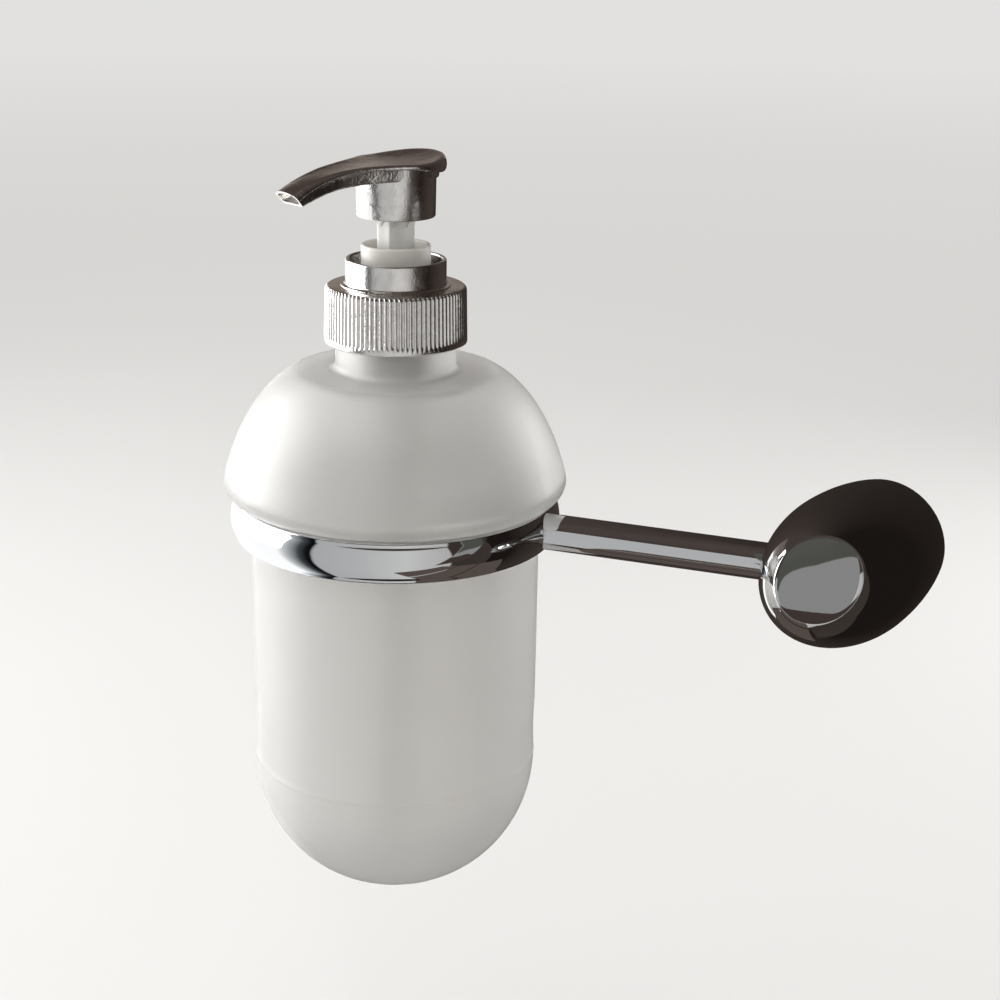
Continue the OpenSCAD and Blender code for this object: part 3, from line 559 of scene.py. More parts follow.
def bossBody(size):
    foot = -size["capFoot"] - size["seam"]
    cut = eggRing(size, leanAt(size, foot))
    reach = sum((point - sum(cut, Vector()) / len(cut)).length for point in cut) / len(cut)
    start = leanAt(size, foot - size["seamDepth"])
    rings = [drawnIn(cut, 1 - size["seamRound"] / reach),
             drawnIn(cut, 1 - size["seamShare"] * size["seamRound"] / reach, -size["seamLift"])]
    for i in range(size["rings"]):
        rings.append(eggRing(size, start + (math.pi - start) * i / size["rings"]))
    boss = ringLoft("eggBoss", rings, 30)
    # the wall's plane cuts the egg off flat
    bpy.ops.object.mode_set(mode="EDIT")
    bpy.ops.mesh.select_all(action="SELECT")
    bpy.ops.mesh.bisect(plane_co=(0, 0, 0), plane_no=(0, 1, 0), use_fill=True, clear_outer=True)
    bpy.ops.object.mode_set(mode="OBJECT")
    radius, depth, over = size["bracketRadius"], size["bracketDepth"], size["overrun"]
    socket = turnedPiece("socketTool", [(0, -over), (radius, -over), (radius, depth), (0, depth)], steps=96,
                         axis=Vector((0, 0, 0)))
    cutAway(boss, turnTo(socket, Matrix.Rotation(math.pi / 2, 4, "X")))
    radius = ringAndArm["armRadius"] + size["armGap"]
    near, far = ringAndArm["armReach"] - size["armHole"][0], ringAndArm["armReach"] + size["armHole"][1]
    cutAway(boss, boreTool(ringAndArm, [(0, near), (radius, near), (radius, far), (0, far)]))
    radius, reach = size["grubRadius"], size["grubReach"]
    cutAway(boss, turnedPiece("grubTool", [(0, -reach), (radius, -reach), (radius, 0), (0, 0)], steps=48,
                              axis=Vector((0, -size["grubY"] * mm, 0))))
    return closePiece(boss, 30)


def bossCap(size):
    foot = eggRing(size, leanAt(size, -size["capFoot"]))
    rings = [drawnIn(foot, share) for share in size["capFootShares"]]
    for i in range(size["capRings"]):
        share = 1 - (i / size["capRings"]) ** size["capPower"]
        rise = size["edgeRise"] * (1 - share ** size["edgePower"]) + size["crown"] * (1 - share * share)
        rings.append(drawnIn(foot, share, size["capLift"] + rise))
    return ringLoft("bossCap", rings, 40)


boss = finishPiece(bossBody(eggBoss), chrome, "chromed_brass", "holder", "boss")
cap = finishPiece(bossCap(eggBoss), chrome, "chromed_brass", "holder", "boss_cap")
print("boss and cap made")


# The closure

ribbedClosure = {
    "radius": 16.8, "flare": 0.017, "footZ": 42.4, "topZ": 56, "shell": 1.2, "ribs": 90, "ribDepth": 0.42,
    "ribFoot": 1.7, "ribLead": (-0.25, 0.1), "ribStations": 6, "grooveReach": 0.65, "grooveTop": 0.3,
    "grooveShares": ((0, 1), (1, 0.8), (2, 0.25), (6, 0.25), (7, 0.8)), "flareLevel": 0.6, "flareReach": 1,
    "stepFoot": 0.45, "stepTop": 0.3, "ribHead": 1.2, "edgeRound": 1.1, "bevel": 0.5, "turretRadius": 11.9,
    "turretZ": 62.3, "turretWall": 1, "turretFillet": 0.7, "stepHeight": 0.25, "holeRadius": 7.3,
    "pointsPerRib": 8,
}


def closureShell(size):
    radius, foot, top = size["radius"], size["footZ"], size["topZ"]
    shell, turret, wall = size["shell"], size["turretRadius"], size["turretWall"]
    outline = [(radius - shell, foot), (radius - size["bevel"], foot)]
    outline += arcPoints(radius - size["bevel"], foot + size["bevel"], size["bevel"], 285, 360, 4)
    ribStart, ribEnd = foot + size["ribFoot"], top - size["ribHead"]
    outline += [(radius, ribStart + lead) for lead in size["ribLead"]]
    stations = size["ribStations"]
    outline += [(radius, ribStart + (ribEnd - ribStart) * i / stations) for i in range(1, stations)]
    outline += arcPoints(radius - size["edgeRound"], top - size["edgeRound"], size["edgeRound"], 0, 90, 8)
    step, fillet = size["stepHeight"], size["turretFillet"]
    outline += [(turret + fillet + size["stepFoot"], top), (turret + fillet + size["stepTop"], top + step)]
    outline += arcPoints(turret + fillet, top + step + fillet, fillet, 270, 180, 6)
    outline += [(turret, size["turretZ"] - wall / 2)]
    outline += arcPoints(turret - wall / 2, size["turretZ"] - wall / 2, wall / 2, 15, 180, 10)
    outline += [(turret - wall, top), (size["holeRadius"], top), (size["holeRadius"], top - shell),
                (radius - shell, top - shell)]
    perRib = size["pointsPerRib"]
    closure = turnedPiece("ribbedClosure", outline, steps=size["ribs"] * perRib, smoothAngle=28)
    # the grooves: at each height in the ribbed band, all points of one phase move in together
    bpy.ops.object.mode_set(mode="EDIT")
    for phase, share in size["grooveShares"]:
        def inGroove(place, phase=phase):
            offset = place - bottleAxis
            reach = math.hypot(offset.x, offset.y) / mm
            turn = math.atan2(offset.y, offset.x) / math.tau * size["ribs"] * perRib
            return (round(turn) % perRib == phase and reach > radius - size["grooveReach"]
                    and ribStart <= place.z / mm <= top - size["grooveTop"])
        selectPoints(closure, inGroove)
        drawn = 1 - share * size["ribDepth"] / radius
        bpy.ops.transform.resize(value=(drawn, drawn, 1), center_override=bottleAxis)
    # the ribbed wall widens a little to its foot
    mesh = bmesh.from_edit_mesh(closure.data)
    for vert in mesh.verts:
        offset = vert.co - bottleAxis
        if math.hypot(offset.x, offset.y) > (radius - size["flareReach"]) * mm:
            wider = 1 + size["flare"] * (size["flareLevel"] - (vert.co.z / mm - foot) / (top - foot))
            vert.co.x = bottleAxis.x + offset.x * wider
            vert.co.y = bottleAxis.y + offset.y * wider
    bmesh.update_edit_mesh(closure.data)
    bpy.ops.object.mode_set(mode="OBJECT")
    return closure


closure = finishPiece(closureShell(ribbedClosure), metallised, "metallised_plastic", "closure",
                      "closure_shell")
print("closure made")


# The lock cup and the stem

cupAndStem = {
    "cupRadius": 8.2, "cupFootZ": 56.3, "cupTopZ": 65.6, "cupWall": 0.9, "cupBevel": 0.25, "floorZ": 62.35,
    "floorRound": 0.6, "leadIn": 0.2, "tubeRadius": 7.05, "stemBevel": 0.3, "stemStations": 10,
    "stepsPerFlat": 16, "flatPower": 0.8, "flatReach": 4, "lugRound": 0.09,
    "tubeTopZ": 60.35, "rimRound": 0.42, "stemRadius": 4.65, "stemGap": 0.08, "stemFootZ": 55.95,
    "stemTopZ": 80.4, "stemBore": 2.45, "flats": 8, "flatDepth": 0.42, "flatPhase": -50.4,
    "lugZ": 71.4, "lugLength": 3.4, "lugWidth": 0.34, "lugProud": 0.22, "lugTilt": 38,
}


def lockCup(size):
    wall, rim = size["cupWall"], size["rimRound"]
    radius, footZ, bevel = size["cupRadius"], size["cupFootZ"], size["cupBevel"]
    outline = [(size["tubeRadius"], footZ), (radius - bevel, footZ), (radius, footZ + bevel)]
    outline += arcPoints(radius - rim, size["cupTopZ"] - rim, rim, 0, 90, 6)
    outline += arcPoints(radius - wall + rim, size["cupTopZ"] - rim, rim, 95, 180, 6)
    corner, lead = size["floorRound"], size["leadIn"]
    outline += arcPoints(radius - wall - corner, size["floorZ"] + corner, corner, 360, 270, 5)
    hole = size["stemRadius"] + size["stemGap"]
    outline += [(hole + lead, size["floorZ"]), (hole, size["floorZ"] - lead), (hole, size["tubeTopZ"]),
                (size["tubeRadius"], size["tubeTopZ"])]
    return turnedPiece("lockCup", outline, steps=128, smoothAngle=40)


def flutedStem(size):
    radius, footZ, bevel = size["stemRadius"], size["stemFootZ"], size["stemBevel"]
    stations = size["stemStations"]
    outline = [(size["stemBore"], footZ), (radius - bevel, footZ), (radius, footZ + bevel)]
    outline += [(radius, footZ + (size["stemTopZ"] - footZ) * i / stations) for i in range(1, stations + 1)]
    outline += [(size["stemBore"], size["stemTopZ"])]
    perFlat = size["stepsPerFlat"]
    stem = turnedPiece("flutedStem", outline, steps=size["flats"] * perFlat, smoothAngle=25)
    bpy.ops.object.mode_set(mode="EDIT")
    for phase in range(1, perFlat):
        share = math.sin(math.pi * phase / perFlat) ** size["flatPower"]
        def onFlat(place, phase=phase):
            offset = place - bottleAxis
            turn = math.atan2(offset.y, offset.x) / math.tau * size["flats"] * perFlat
            return (round(turn) % perFlat == phase
                    and math.hypot(offset.x, offset.y) > size["flatReach"] * mm)
        selectPoints(stem, onFlat)
        drawn = 1 - share * size["flatDepth"] / radius
        bpy.ops.transform.resize(value=(drawn, drawn, 1), center_override=bottleAxis)
    bpy.ops.object.mode_set(mode="OBJECT")
    turn = math.radians(size["flatPhase"] - 180 / size["flats"])
    lugs = stemLugs(size)
    stem = joinPieces("flutedStem", [stem, lugs])
    about = Matrix.Translation(bottleAxis) @ Matrix.Rotation(turn, 4, "Z") @ Matrix.Translation(-bottleAxis)
    return turnTo(stem, about)


def stemLugs(size):
    # one slanted lug on a flat, spun into one for every other flat
    lug = startPiece("stemLugs", bpy.ops.mesh.primitive_cube_add, size=1)
    bpy.ops.mesh.select_all(action="SELECT")
    bpy.ops.transform.resize(value=(2 * size["lugProud"] * mm, size["lugWidth"] * mm,
                                    size["lugLength"] * mm))
    bpy.ops.mesh.bevel(offset=size["lugRound"] * mm, segments=2, affect="EDGES")
    bpy.ops.mesh.select_all(action="SELECT")
    bpy.ops.transform.rotate(value=math.radians(size["lugTilt"]), orient_axis="X", center_override=(0, 0, 0))
    middle = math.pi / size["flats"]
    reach = (size["stemRadius"] - size["flatDepth"]) * mm
    bpy.ops.transform.rotate(value=-middle, orient_axis="Z", center_override=(0, 0, 0))
    bpy.ops.transform.translate(value=(bottleAxis.x + reach * math.cos(middle),
                                       bottleAxis.y + reach * math.sin(middle), size["lugZ"] * mm))
    bpy.ops.mesh.spin(steps=size["flats"], angle=math.tau, dupli=True, center=bottleAxis, axis=(0, 0, 1))
    return closePiece(lug, 40)


lockCupPiece = finishPiece(lockCup(cupAndStem), cupPlastic, "natural_plastic", "pump_core", "lock_cup")
stem = finishPiece(flutedStem(cupAndStem), stemPlastic, "natural_plastic", "head", "stem")
print("cup and stem made")


# The head: sections round the back of the thumb plate and along the spout, joined row by row

pumpHead = {
    "plateRadius": 11, "plateBack": 1, "topZ": 85.2, "rimRise": 1.7, "rimPower": 1.5, "curl": 3.6,
    "curlShare": 0.25, "curlPower": 1.05, "footZ": 81.2, "reach": 32, "tipWidth": 7.9, "tipHeight": 3.3,
    "drop": 4.6, "lip": 1.05, "lipOver": 0.75, "backLipOver": 1.75, "lipFrom": 9, "tipLipOver": 0.12,
    "lipFade": 0.85, "fadeFrom": 0.7, "fadePower": 0.6, "dish": 0.75, "dishPower": 0.5, "dishSlope": 2.4,
    "slopeShares": (0.4, 0.6), "dishShares": ((0, 1), (0.35, 0.95), (0.65, 0.8), (0.85, 0.55), (1, 0.25)),
    "crown": 0.85, "flankPower": 2.6, "topPower": 3.1, "bellyPower": 2.6, "flankStart": 0.55, "taper": 0.97,
    "taperFrom": 2, "underGap": 0.08, "underRise": 0.6, "underOut": 0.12, "underDrop": 0.15,
    "bellyRound": ((0, 0.55), (0.06, 0.26), (0.25, 0.07), (0.6, 0)), "bellyMiddle": 0.5, "lean": 0.9,
    "leanFrom": 0.6, "backStations": 5, "stations": 26, "spokes": 28, "mouthWall": 0.55, "mouthDepth": 3.4,
    "mouthRise": 1.15, "turn": 15, "skirtRadius": 9.4, "skirtFootZ": 72.2, "skirtTop": 1.3,
    "skirtWall": 0.75, "skirtBevel": (0.2, 0.25), "draft": 0.15, "socketRadius": 5.85, "socketZ": 74.65,
    "stemRadius": 4.72,
}


# a rim's outline, as inset from the edge and depth under its top, in mm: first thin, then rolled over
thinLip = [(1.3, 0.02), (0.75, 0), (0.42, 0.07), (0.18, 0.21), (0.05, 0.4), (0, 0.65), (0.02, 0.82),
           (0.1, 0.95), (0.28, 1.05), (0.5, 1.09)]
rolledRim = [(2.3, 0), (1.75, 0.06), (1.25, 0.3), (0.75, 0.8), (0.33, 1.45), (0.05, 2.3), (0, 2.9),
             (0.15, 3.5), (0.65, 4.15), (1.3, 4.5)]


def halfWidth(size, s):
    flankS = size["flankStart"] * size["plateRadius"] - size["plateBack"]
    flankHalf = size["plateRadius"] * math.sqrt(1 - size["flankStart"] ** 2)
    if s <= flankS:
        return math.sqrt(max(0, size["plateRadius"] ** 2 - (s + size["plateBack"]) ** 2))
    share = max(0, 1 - (s - flankS) / (size["reach"] - flankS))
    return size["tipWidth"] / 2 + (flankHalf - size["tipWidth"] / 2) * share ** size["flankPower"]


def rimAt(size, s):
    # height of the plate's top and thickness of its rim at that distance along the head
    back = size["plateRadius"] + size["plateBack"]
    ahead = size["curlShare"] * size["plateRadius"]
    rise = size["rimRise"] * (max(0, -s) / back) ** size["rimPower"]
    curl = size["curl"] * (max(0, ahead - s) / (ahead + back)) ** size["curlPower"]
    drop = size["drop"] * (max(0, s) / size["reach"]) ** size["topPower"]
    return size["topZ"] + rise - drop, size["lip"] + curl


def headSection(size, s, width=None, side=None):
    # half a section, as (x, y, z) in mm from the top of the dish down and in to the bottom's middle
    along = max(0, s) / size["reach"]
    tipward = max(0, (along - size["leanFrom"]) / (1 - size["leanFrom"]))
    w = halfWidth(size, s) if width is None else width
    full = min(1, max(0, (w - size["tipWidth"] / 2) / (size["plateRadius"] - size["tipWidth"] / 2)))
    top, rim = rimAt(size, s if side is None else side)
    fall = size["footZ"] - size["topZ"] + size["drop"] + size["tipHeight"]
    foot = size["footZ"] - fall * along ** size["bellyPower"]
    dish = size["dish"] * full ** size["dishPower"]
    crown = size["crown"] * tipward
    least, more = size["slopeShares"]
    edge = w - size["dishSlope"] * (least + more * full)
    lipShow = 1 - size["lipFade"] * tipward ** size["fadePower"]
    profile = [(edge * out, -dish * deep) for out, deep in size["dishShares"]]
    # from the thin lip along the spout to the tall rolled rim at the back
    curled = (rim - size["lip"]) / size["curl"]
    for thin, rolled in zip(thinLip, rolledRim):
        inset = (thin[0] * (lipShow if thin[1] > size["fadeFrom"] else 1)) * (1 - curled) + rolled[0] * curled
        profile.append((w - inset, -thin[1] * (1 - curled) - rolled[1] * curled))
    points = [(x, top + z - crown * (x / w) ** 2) for x, z in profile]
    behind = min(1, max(0, (size["lipFrom"] - s) / size["lipFrom"]))
    over = size["lipOver"] + (size["tipLipOver"] - size["lipOver"]) * tipward ** size["fadePower"]
    over += (size["backLipOver"] - size["lipOver"]) * behind
    flank = w - over
    under = max(points[-1][1] + size["underGap"], foot + size["underRise"])
    low = flank * (1 - (1 - size["taper"]) * min(1, along * size["taperFrom"]))
    points += [(min(flank + size["underOut"], points[-1][0]), under), (flank, under - size["underDrop"]),
               (flank, (under + foot) / 2)]
    points += [(low - inset, foot + rise) for inset, rise in size["bellyRound"]]
    points += [(low * size["bellyMiddle"], foot), (0, foot)]
    lean = size["lean"] * tipward
    return [(x, -s + lean * (top - z), z) for x, z in points]


def headRows(size):
    # rows from the dish's middle round the edge to the bottom's middle: from the mouth back along the
    # right side, round the back of the thumb plate as spokes, and along the left side to the mouth
    back, radius = -size["plateBack"], size["plateRadius"]
    rows = []
    for i in range(size["spokes"] + 1):
        turn = math.pi * i / size["spokes"]
        row = []
        for k, (reach, y, z) in enumerate(headSection(size, back, radius)):
            behind = reach * math.sin(turn)
            height = headSection(size, back, radius, back - behind)[k][2]
            row.append(Vector((reach * math.cos(turn), y + behind, height)))
        rows.append(row)
    flankS = size["flankStart"] * radius - size["plateBack"]
    few, many = size["backStations"], size["stations"]
    stops = [back + (flankS - back) * i / few for i in range(1, few + 1)]
    stops += [flankS + (size["reach"] - flankS) * i / many for i in range(1, many + 1)]
    for s in stops:
        right = [Vector(point) for point in headSection(size, s)]
        rows = [right] + rows + [[Vector((-point.x, point.y, point.z)) for point in right]]
    return rows


def mouthRings(size, loop):
    # the thin wall round the mouth, and the duct behind it
    low, high = min(point.z for point in loop), max(point.z for point in loop)
    middle = Vector((0, -size["reach"] + size["lean"] * (high - low) / 2, (low + high) / 2))
    across = 1 - size["mouthWall"] / (size["tipWidth"] / 2)
    upright = 1 - size["mouthWall"] / (size["tipHeight"] / 2)
    edge = [middle + Vector(((point - middle).x * across, (point - middle).y * upright,
                             (point - middle).z * upright)) for point in loop]
    return [edge, [point + Vector((0, size["mouthDepth"], size["mouthRise"])) for point in edge]]


def headCover(size):
    rows = headRows(size)

    def build(mesh):
        verts = [[mesh.verts.new(point * mm) for point in row] for row in rows]
        for near, far in zip(verts, verts[1:]):
            for k in range(len(near) - 1):
                mesh.faces.new((near[k], near[k + 1], far[k + 1], far[k]))
        ring = verts[0] + verts[-1][-2:0:-1]
        for points in mouthRings(size, rows[0] + rows[-1][-2:0:-1]):
            inner = [mesh.verts.new(point * mm) for point in points]
            joinRings(mesh, ring, inner)
            ring = inner
        mesh.faces.new(ring)
    return builtPiece("pumpHead", build, 40)


def headSkirt(size):
    wall, radius, draft = size["skirtWall"], size["skirtRadius"], size["draft"]
    top, footZ = size["topZ"] - size["skirtTop"], size["skirtFootZ"]
    small, large = size["skirtBevel"]
    outline = [(radius - wall, footZ + small), (radius - wall + large, footZ),
               (radius - draft - small, footZ), (radius - draft, footZ + large), (radius, top),
               (radius - wall, top)]
    skirt = turnedPiece("headSkirt", outline, steps=144, axis=Vector((0, 0, 0)), smoothAngle=40)
    socket = [(size["stemRadius"], size["socketZ"]), (size["socketRadius"], size["socketZ"]),
              (size["socketRadius"], top), (size["stemRadius"], top)]
    return [skirt, turnedPiece("headSocket", socket, steps=96, axis=Vector((0, 0, 0)))]


head = joinPieces("pumpHead", [headCover(pumpHead)] + headSkirt(pumpHead))
turnTo(head, Matrix.Rotation(-math.radians(pumpHead["turn"]), 4, "Z"), bottleAxis)
finishPiece(head, metallised, "metallised_plastic", "head", "actuator_head")
print("head made")


# The pieces that keep their CAD shape

carriedOver = {
    "wall_bracket": screwSteel, "boss_grub_screw": screwSteel, "arm_clamp_screw": screwSteel,
    "ring_screw": screwSteel, "closure_liner": innerPlastic, "neck_gasket": foam,
    "pump_housing": innerPlastic, "ball_cage": innerPlastic, "inlet_ball": ballSteel,
    "dip_tube": innerPlastic, "piston_rod": innerPlastic, "piston": pistonPlastic, "outlet_ball": ballSteel,
}
for name, material in carriedOver.items():
    node = frame["nodes"][name]
    node.data.materials.clear()
    node.data.materials.append(material)
print("inner pieces finished")


# The return spring, at its length at rest: nothing here shortens it as the head is pressed

returnSpring = {
    "wireRadius": 0.35, "radius": 4.3, "turns": 9, "stroke": 12, "wireSides": 10, "stepsPerTurn": 24,
}


def springCoil(size):
    heights = [vert.co.z for vert in frame["nodes"]["return_spring"].data.vertices]
    foot, length = min(heights) / mm, (max(heights) - min(heights)) / mm
    coil = startPiece("returnSpring", bpy.ops.mesh.primitive_circle_add, vertices=size["wireSides"],
                      radius=size["wireRadius"] * mm)
    bpy.ops.mesh.select_all(action="SELECT")
    bpy.ops.transform.rotate(value=math.pi / 2, orient_axis="X", center_override=(0, 0, 0))
    bpy.ops.transform.translate(value=(size["radius"] * mm, 0, (foot + size["wireRadius"]) * mm))
    bpy.ops.object.mode_set(mode="OBJECT")
    steps = size["turns"] * size["stepsPerTurn"]
    applyModifier(coil, "SCREW", angle=math.tau * size["turns"], steps=steps, render_steps=steps,
                  screw_offset=(length - 2 * size["wireRadius"]) * mm)
    coil.data.transform(Matrix.Translation(bottleAxis))
    bpy.ops.object.mode_set(mode="EDIT")
    bpy.ops.mesh.select_all(action="SELECT")
    bpy.ops.mesh.fill_holes(sides=0)
    bpy.ops.object.mode_set(mode="OBJECT")
    return closePiece(coil, 50), foot, length


spring, springFoot, springLength = springCoil(returnSpring)
finishPiece(spring, screwSteel, "steel", "pump_core", "return_spring")
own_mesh(spring)
print("spring made")


# The camera, as fitted to the photograph
photoCamera = {
    "place": (154.3, -404.2, 146.2), "azimuth": 33, "pitch": 18.05, "roll": 1.05, "lens": 68.26,
    "sensor": 36, "clipStart": 0.01,
}


# The stage, in metres; what the chrome sees round it goes by azimuth from the camera, right is positive

studio = {
    "azimuth": 33, "floorZ": -0.19, "floorSize": 60, "paper": "#e2e1df", "worldFill": 0.68,
    "glow": ((0.5, 0.6), (3.5, 1)), "cardSides": 180, "cardLift": (0.002, 0.004), "cardStrength": 1.3,
    "screenRadius": 0.9, "screenTop": 0.5, "underRadius": 0.11, "backFoot": 0.13, "backTurns": (-125, 160),
    "backGap": 0.02, "ceiling": "#4a413d", "under": "#2a2422",
    "screen": ((-180, "#544c48", 1), (-172, "#635b56", 1), (-164, "#ffffff", 1.3), (-84, "#ffffff", 1.3),
               (-76, "#d5d8da", 1), (-64, "#4a4d50", 1), (-58, "#111317", 1), (-54, "#0d0e12", 1),
               (-53.2, "#c4c5c6", 0.9), (-20, "#cfcfcf", 0.9), (10, "#e2e2e1", 0.9), (39.5, "#c9c8c6", 0.9),
               (40.5, "#3d3632", 1), (75, "#433b37", 1), (100, "#2e2825", 1), (150, "#26211f", 1),
               (180, "#4a423e", 1)),
    "back": ((0.13, "#b9b2ac"), (0.2, "#978e87"), (0.27, "#7c726c"), (0.5, "#6a605a")),
    # outlines in mm, across and up
    "facetReach": 30, "facetCards": (
        ("facetFoot", "#463c38", ((-34, -22), (-26, -21.5), (-20, -20.2), (-14, -17.8), (-8, -15.6),
                                  (-3, -14.6), (2, -15), (7, -17), (12, -19.6), (17, -20.6), (22, -19.5),
                                  (30, -15), (44, -8), (44, -60), (-34, -60))),
        ("facetHead", "#555650", ((-27, -8), (-21, -1.5), (-17, 1.2), (-10.8, 3.1), (-6, 4.2), (-1.4, 5.2),
                                  (3, 7), (7.9, 9.4), (13, 12.5), (18.5, 15.6), (27, 19), (27, 34), (-30, 34),
                                  (-30, -8))),
        ("facetMiddle", "#959594", ((-30, -26), (-30, 24), (28, 24), (28, -26)))),
    "armCard": (34, 104, 0.05, "#5d534e"), "armStrips": ((-5, 26), (28.5, 54), (56, 84)),
    "stripTurn": -7, "stripRadius": 0.06, "stripWidth": 0.0017, "stripZ": (0.034, 0.074),
    "wallCard": ((-0.1, 0.2), (-0.16, 0.3), 0.003), "wallTones": (("#4a413d", -0.1), ("#1f1a18", 0.03)),
    # name, azimuth, elevation, distance, width, height, power, and whether metal shows it
    "softboxes": (("softboxLeft", -104, 16, 0.75, 0.8, 0.8, 10, True),
                  ("softboxRight", 128, 8, 0.75, 0.35, 0.5, 3, False),
                  ("softboxTop", -30, 62, 0.95, 0.7, 0.7, 3, True)),
}


def setStops(ramp, tones):
    stops = ramp.color_ramp.elements
    stops.remove(stops[-1])
    for i, (place, tone) in enumerate(tones):
        stop = stops[0] if i == 0 else stops.new(place)
        stop.position = place
        stop.color = tone


def azimuthTone(material, size):
    # a colour and its strength by the azimuth round the bottle, as sockets
    where = addNode(material, "ShaderNodeTexCoord", {}).outputs["Object"]
    towardsCamera = math.radians(size["azimuth"] - 90)
    centred = addNode(material, "ShaderNodeMapping", {"Vector": where,
                                                      "Location": (-bottleAxis.x, -bottleAxis.y, 0)},
                      vector_type="POINT")
    turned = addNode(material, "ShaderNodeMapping", {"Vector": centred.outputs[0],
                                                     "Rotation": (0, 0, -towardsCamera)}, vector_type="POINT")
    radial = addNode(material, "ShaderNodeTexGradient", {"Vector": turned.outputs[0]}, gradient_type="RADIAL")
    ramp = addNode(material, "ShaderNodeValToRGB", {0: radial.outputs["Fac"]})
    tones = []
    for turn, tone, strength in size["screen"]:
        colour = [c * strength / size["cardStrength"] for c in linear(tone)[:3]] + [1]
        tones.append(((turn + 180) / 360, colour))
    setStops(ramp, tones)
    return ramp.outputs["Color"]


def onlyInMirrors(card):
    # the cards shape what polished metal shows, and neither light nor shade anything else
    card.visible_camera = False
    card.visible_diffuse = False
    card.visible_transmission = False
    card.visible_volume_scatter = False
    card.visible_shadow = False


def cardMaterial(name, colour, strength=1.0):
    material = bpy.data.materials.new(name)
    material.use_nodes = True
    material.node_tree.nodes.remove(material.node_tree.nodes["Principled BSDF"])
    addNode(material, "ShaderNodeEmission", {"Color": linear(colour), "Strength": strength},
            material.node_tree.nodes["Material Output"].inputs["Surface"])
    return material


def cardColour(material):
    return next(node for node in material.node_tree.nodes if node.type == "EMISSION").inputs["Color"]


def seenRays(material):
    # 1 for what the camera sees straight, in metal or through glass, and 0 for what only lights
    ray = addNode(material, "ShaderNodeLightPath", {})
    seen = addNode(material, "ShaderNodeMath", {0: ray.outputs["Is Camera Ray"],
                                                1: ray.outputs["Is Glossy Ray"]}, operation="MAXIMUM")
    through = addNode(material, "ShaderNodeMath", {0: seen.outputs[0], 1: ray.outputs["Is Transmission Ray"]},
                      operation="MAXIMUM")
    return through.outputs[0]


def stageFloor(size):
    floor = startPiece("stageFloor", bpy.ops.mesh.primitive_plane_add, size=size["floorSize"])
    bpy.ops.mesh.select_all(action="SELECT")
    bpy.ops.transform.translate(value=(0, 0, size["floorZ"]))
    bpy.ops.object.mode_set(mode="OBJECT")
    material, shader = newMaterial("palePaper", Base_Color=linear(size["paper"]), Roughness=0.9)
    glow = addNode(material, "ShaderNodeEmission", {"Color": linear(size["paper"]), "Strength": 1})
    # far out the paper glows in its own tone, so that no horizon shows
    where = addNode(material, "ShaderNodeTexCoord", {}).outputs["Object"]
    reach = addNode(material, "ShaderNodeVectorMath", {0: where}, operation="LENGTH")
    (near, least), (far, most) = size["glow"]
    glowing = addNode(material, "ShaderNodeMapRange", {"Value": reach.outputs["Value"], "From Min": near,
                                                       "From Max": far, "To Min": least, "To Max": most})
    share = addNode(material, "ShaderNodeMath", {0: seenRays(material), 1: glowing.outputs[0]},
                    operation="MULTIPLY")
    addNode(material, "ShaderNodeMixShader", {0: share.outputs[0], 1: shader.outputs[0], 2: glow.outputs[0]},
            material.node_tree.nodes["Material Output"].inputs["Surface"])
    floor.data.materials.append(material)


def roundCard(name, sides, z, radius, material):
    card = startPiece(name, bpy.ops.mesh.primitive_circle_add, vertices=sides, radius=radius,
                      fill_type="NGON")
    bpy.ops.mesh.select_all(action="SELECT")
    bpy.ops.transform.translate(value=(bottleAxis.x, bottleAxis.y, z))
    bpy.ops.object.mode_set(mode="OBJECT")
    card.data.materials.append(material)
    onlyInMirrors(card)


def heightCard(size):
    # a card whose tone follows the height
    material = cardMaterial("backCard", "#ffffff")
    where = addNode(material, "ShaderNodeTexCoord", {}).outputs["Object"]
    split = addNode(material, "ShaderNodeSeparateXYZ", {0: where})
    low, high = size["back"][0][0], size["back"][-1][0]
    share = addNode(material, "ShaderNodeMapRange", {"Value": split.outputs["Z"], "From Min": low,
                                                     "From Max": high})
    ramp = addNode(material, "ShaderNodeValToRGB", {0: share.outputs[0]}, cardColour(material))
    setStops(ramp, [((height - low) / (high - low), linear(tone)) for height, tone in size["back"]])
    return material


def stripCard(size):
    # a narrow dark strip near the pump, which shows as one thin line on its turned walls
    low, high = size["stripZ"]
    strip = startPiece("stripCard", bpy.ops.mesh.primitive_plane_add, size=1)
    bpy.ops.mesh.select_all(action="SELECT")
    bpy.ops.transform.rotate(value=math.pi / 2, orient_axis="Y", center_override=(0, 0, 0))
    bpy.ops.transform.resize(value=(1, size["stripWidth"], high - low))
    bpy.ops.transform.translate(value=(size["stripRadius"], 0, (low + high) / 2))
    bpy.ops.object.mode_set(mode="OBJECT")
    turnTo(strip, Matrix.Rotation(math.radians(size["azimuth"] - 90 + size["stripTurn"]), 4, "Z"), bottleAxis)
    strip.data.materials.append(cardMaterial("stripCard", size["under"]))
    onlyInMirrors(strip)


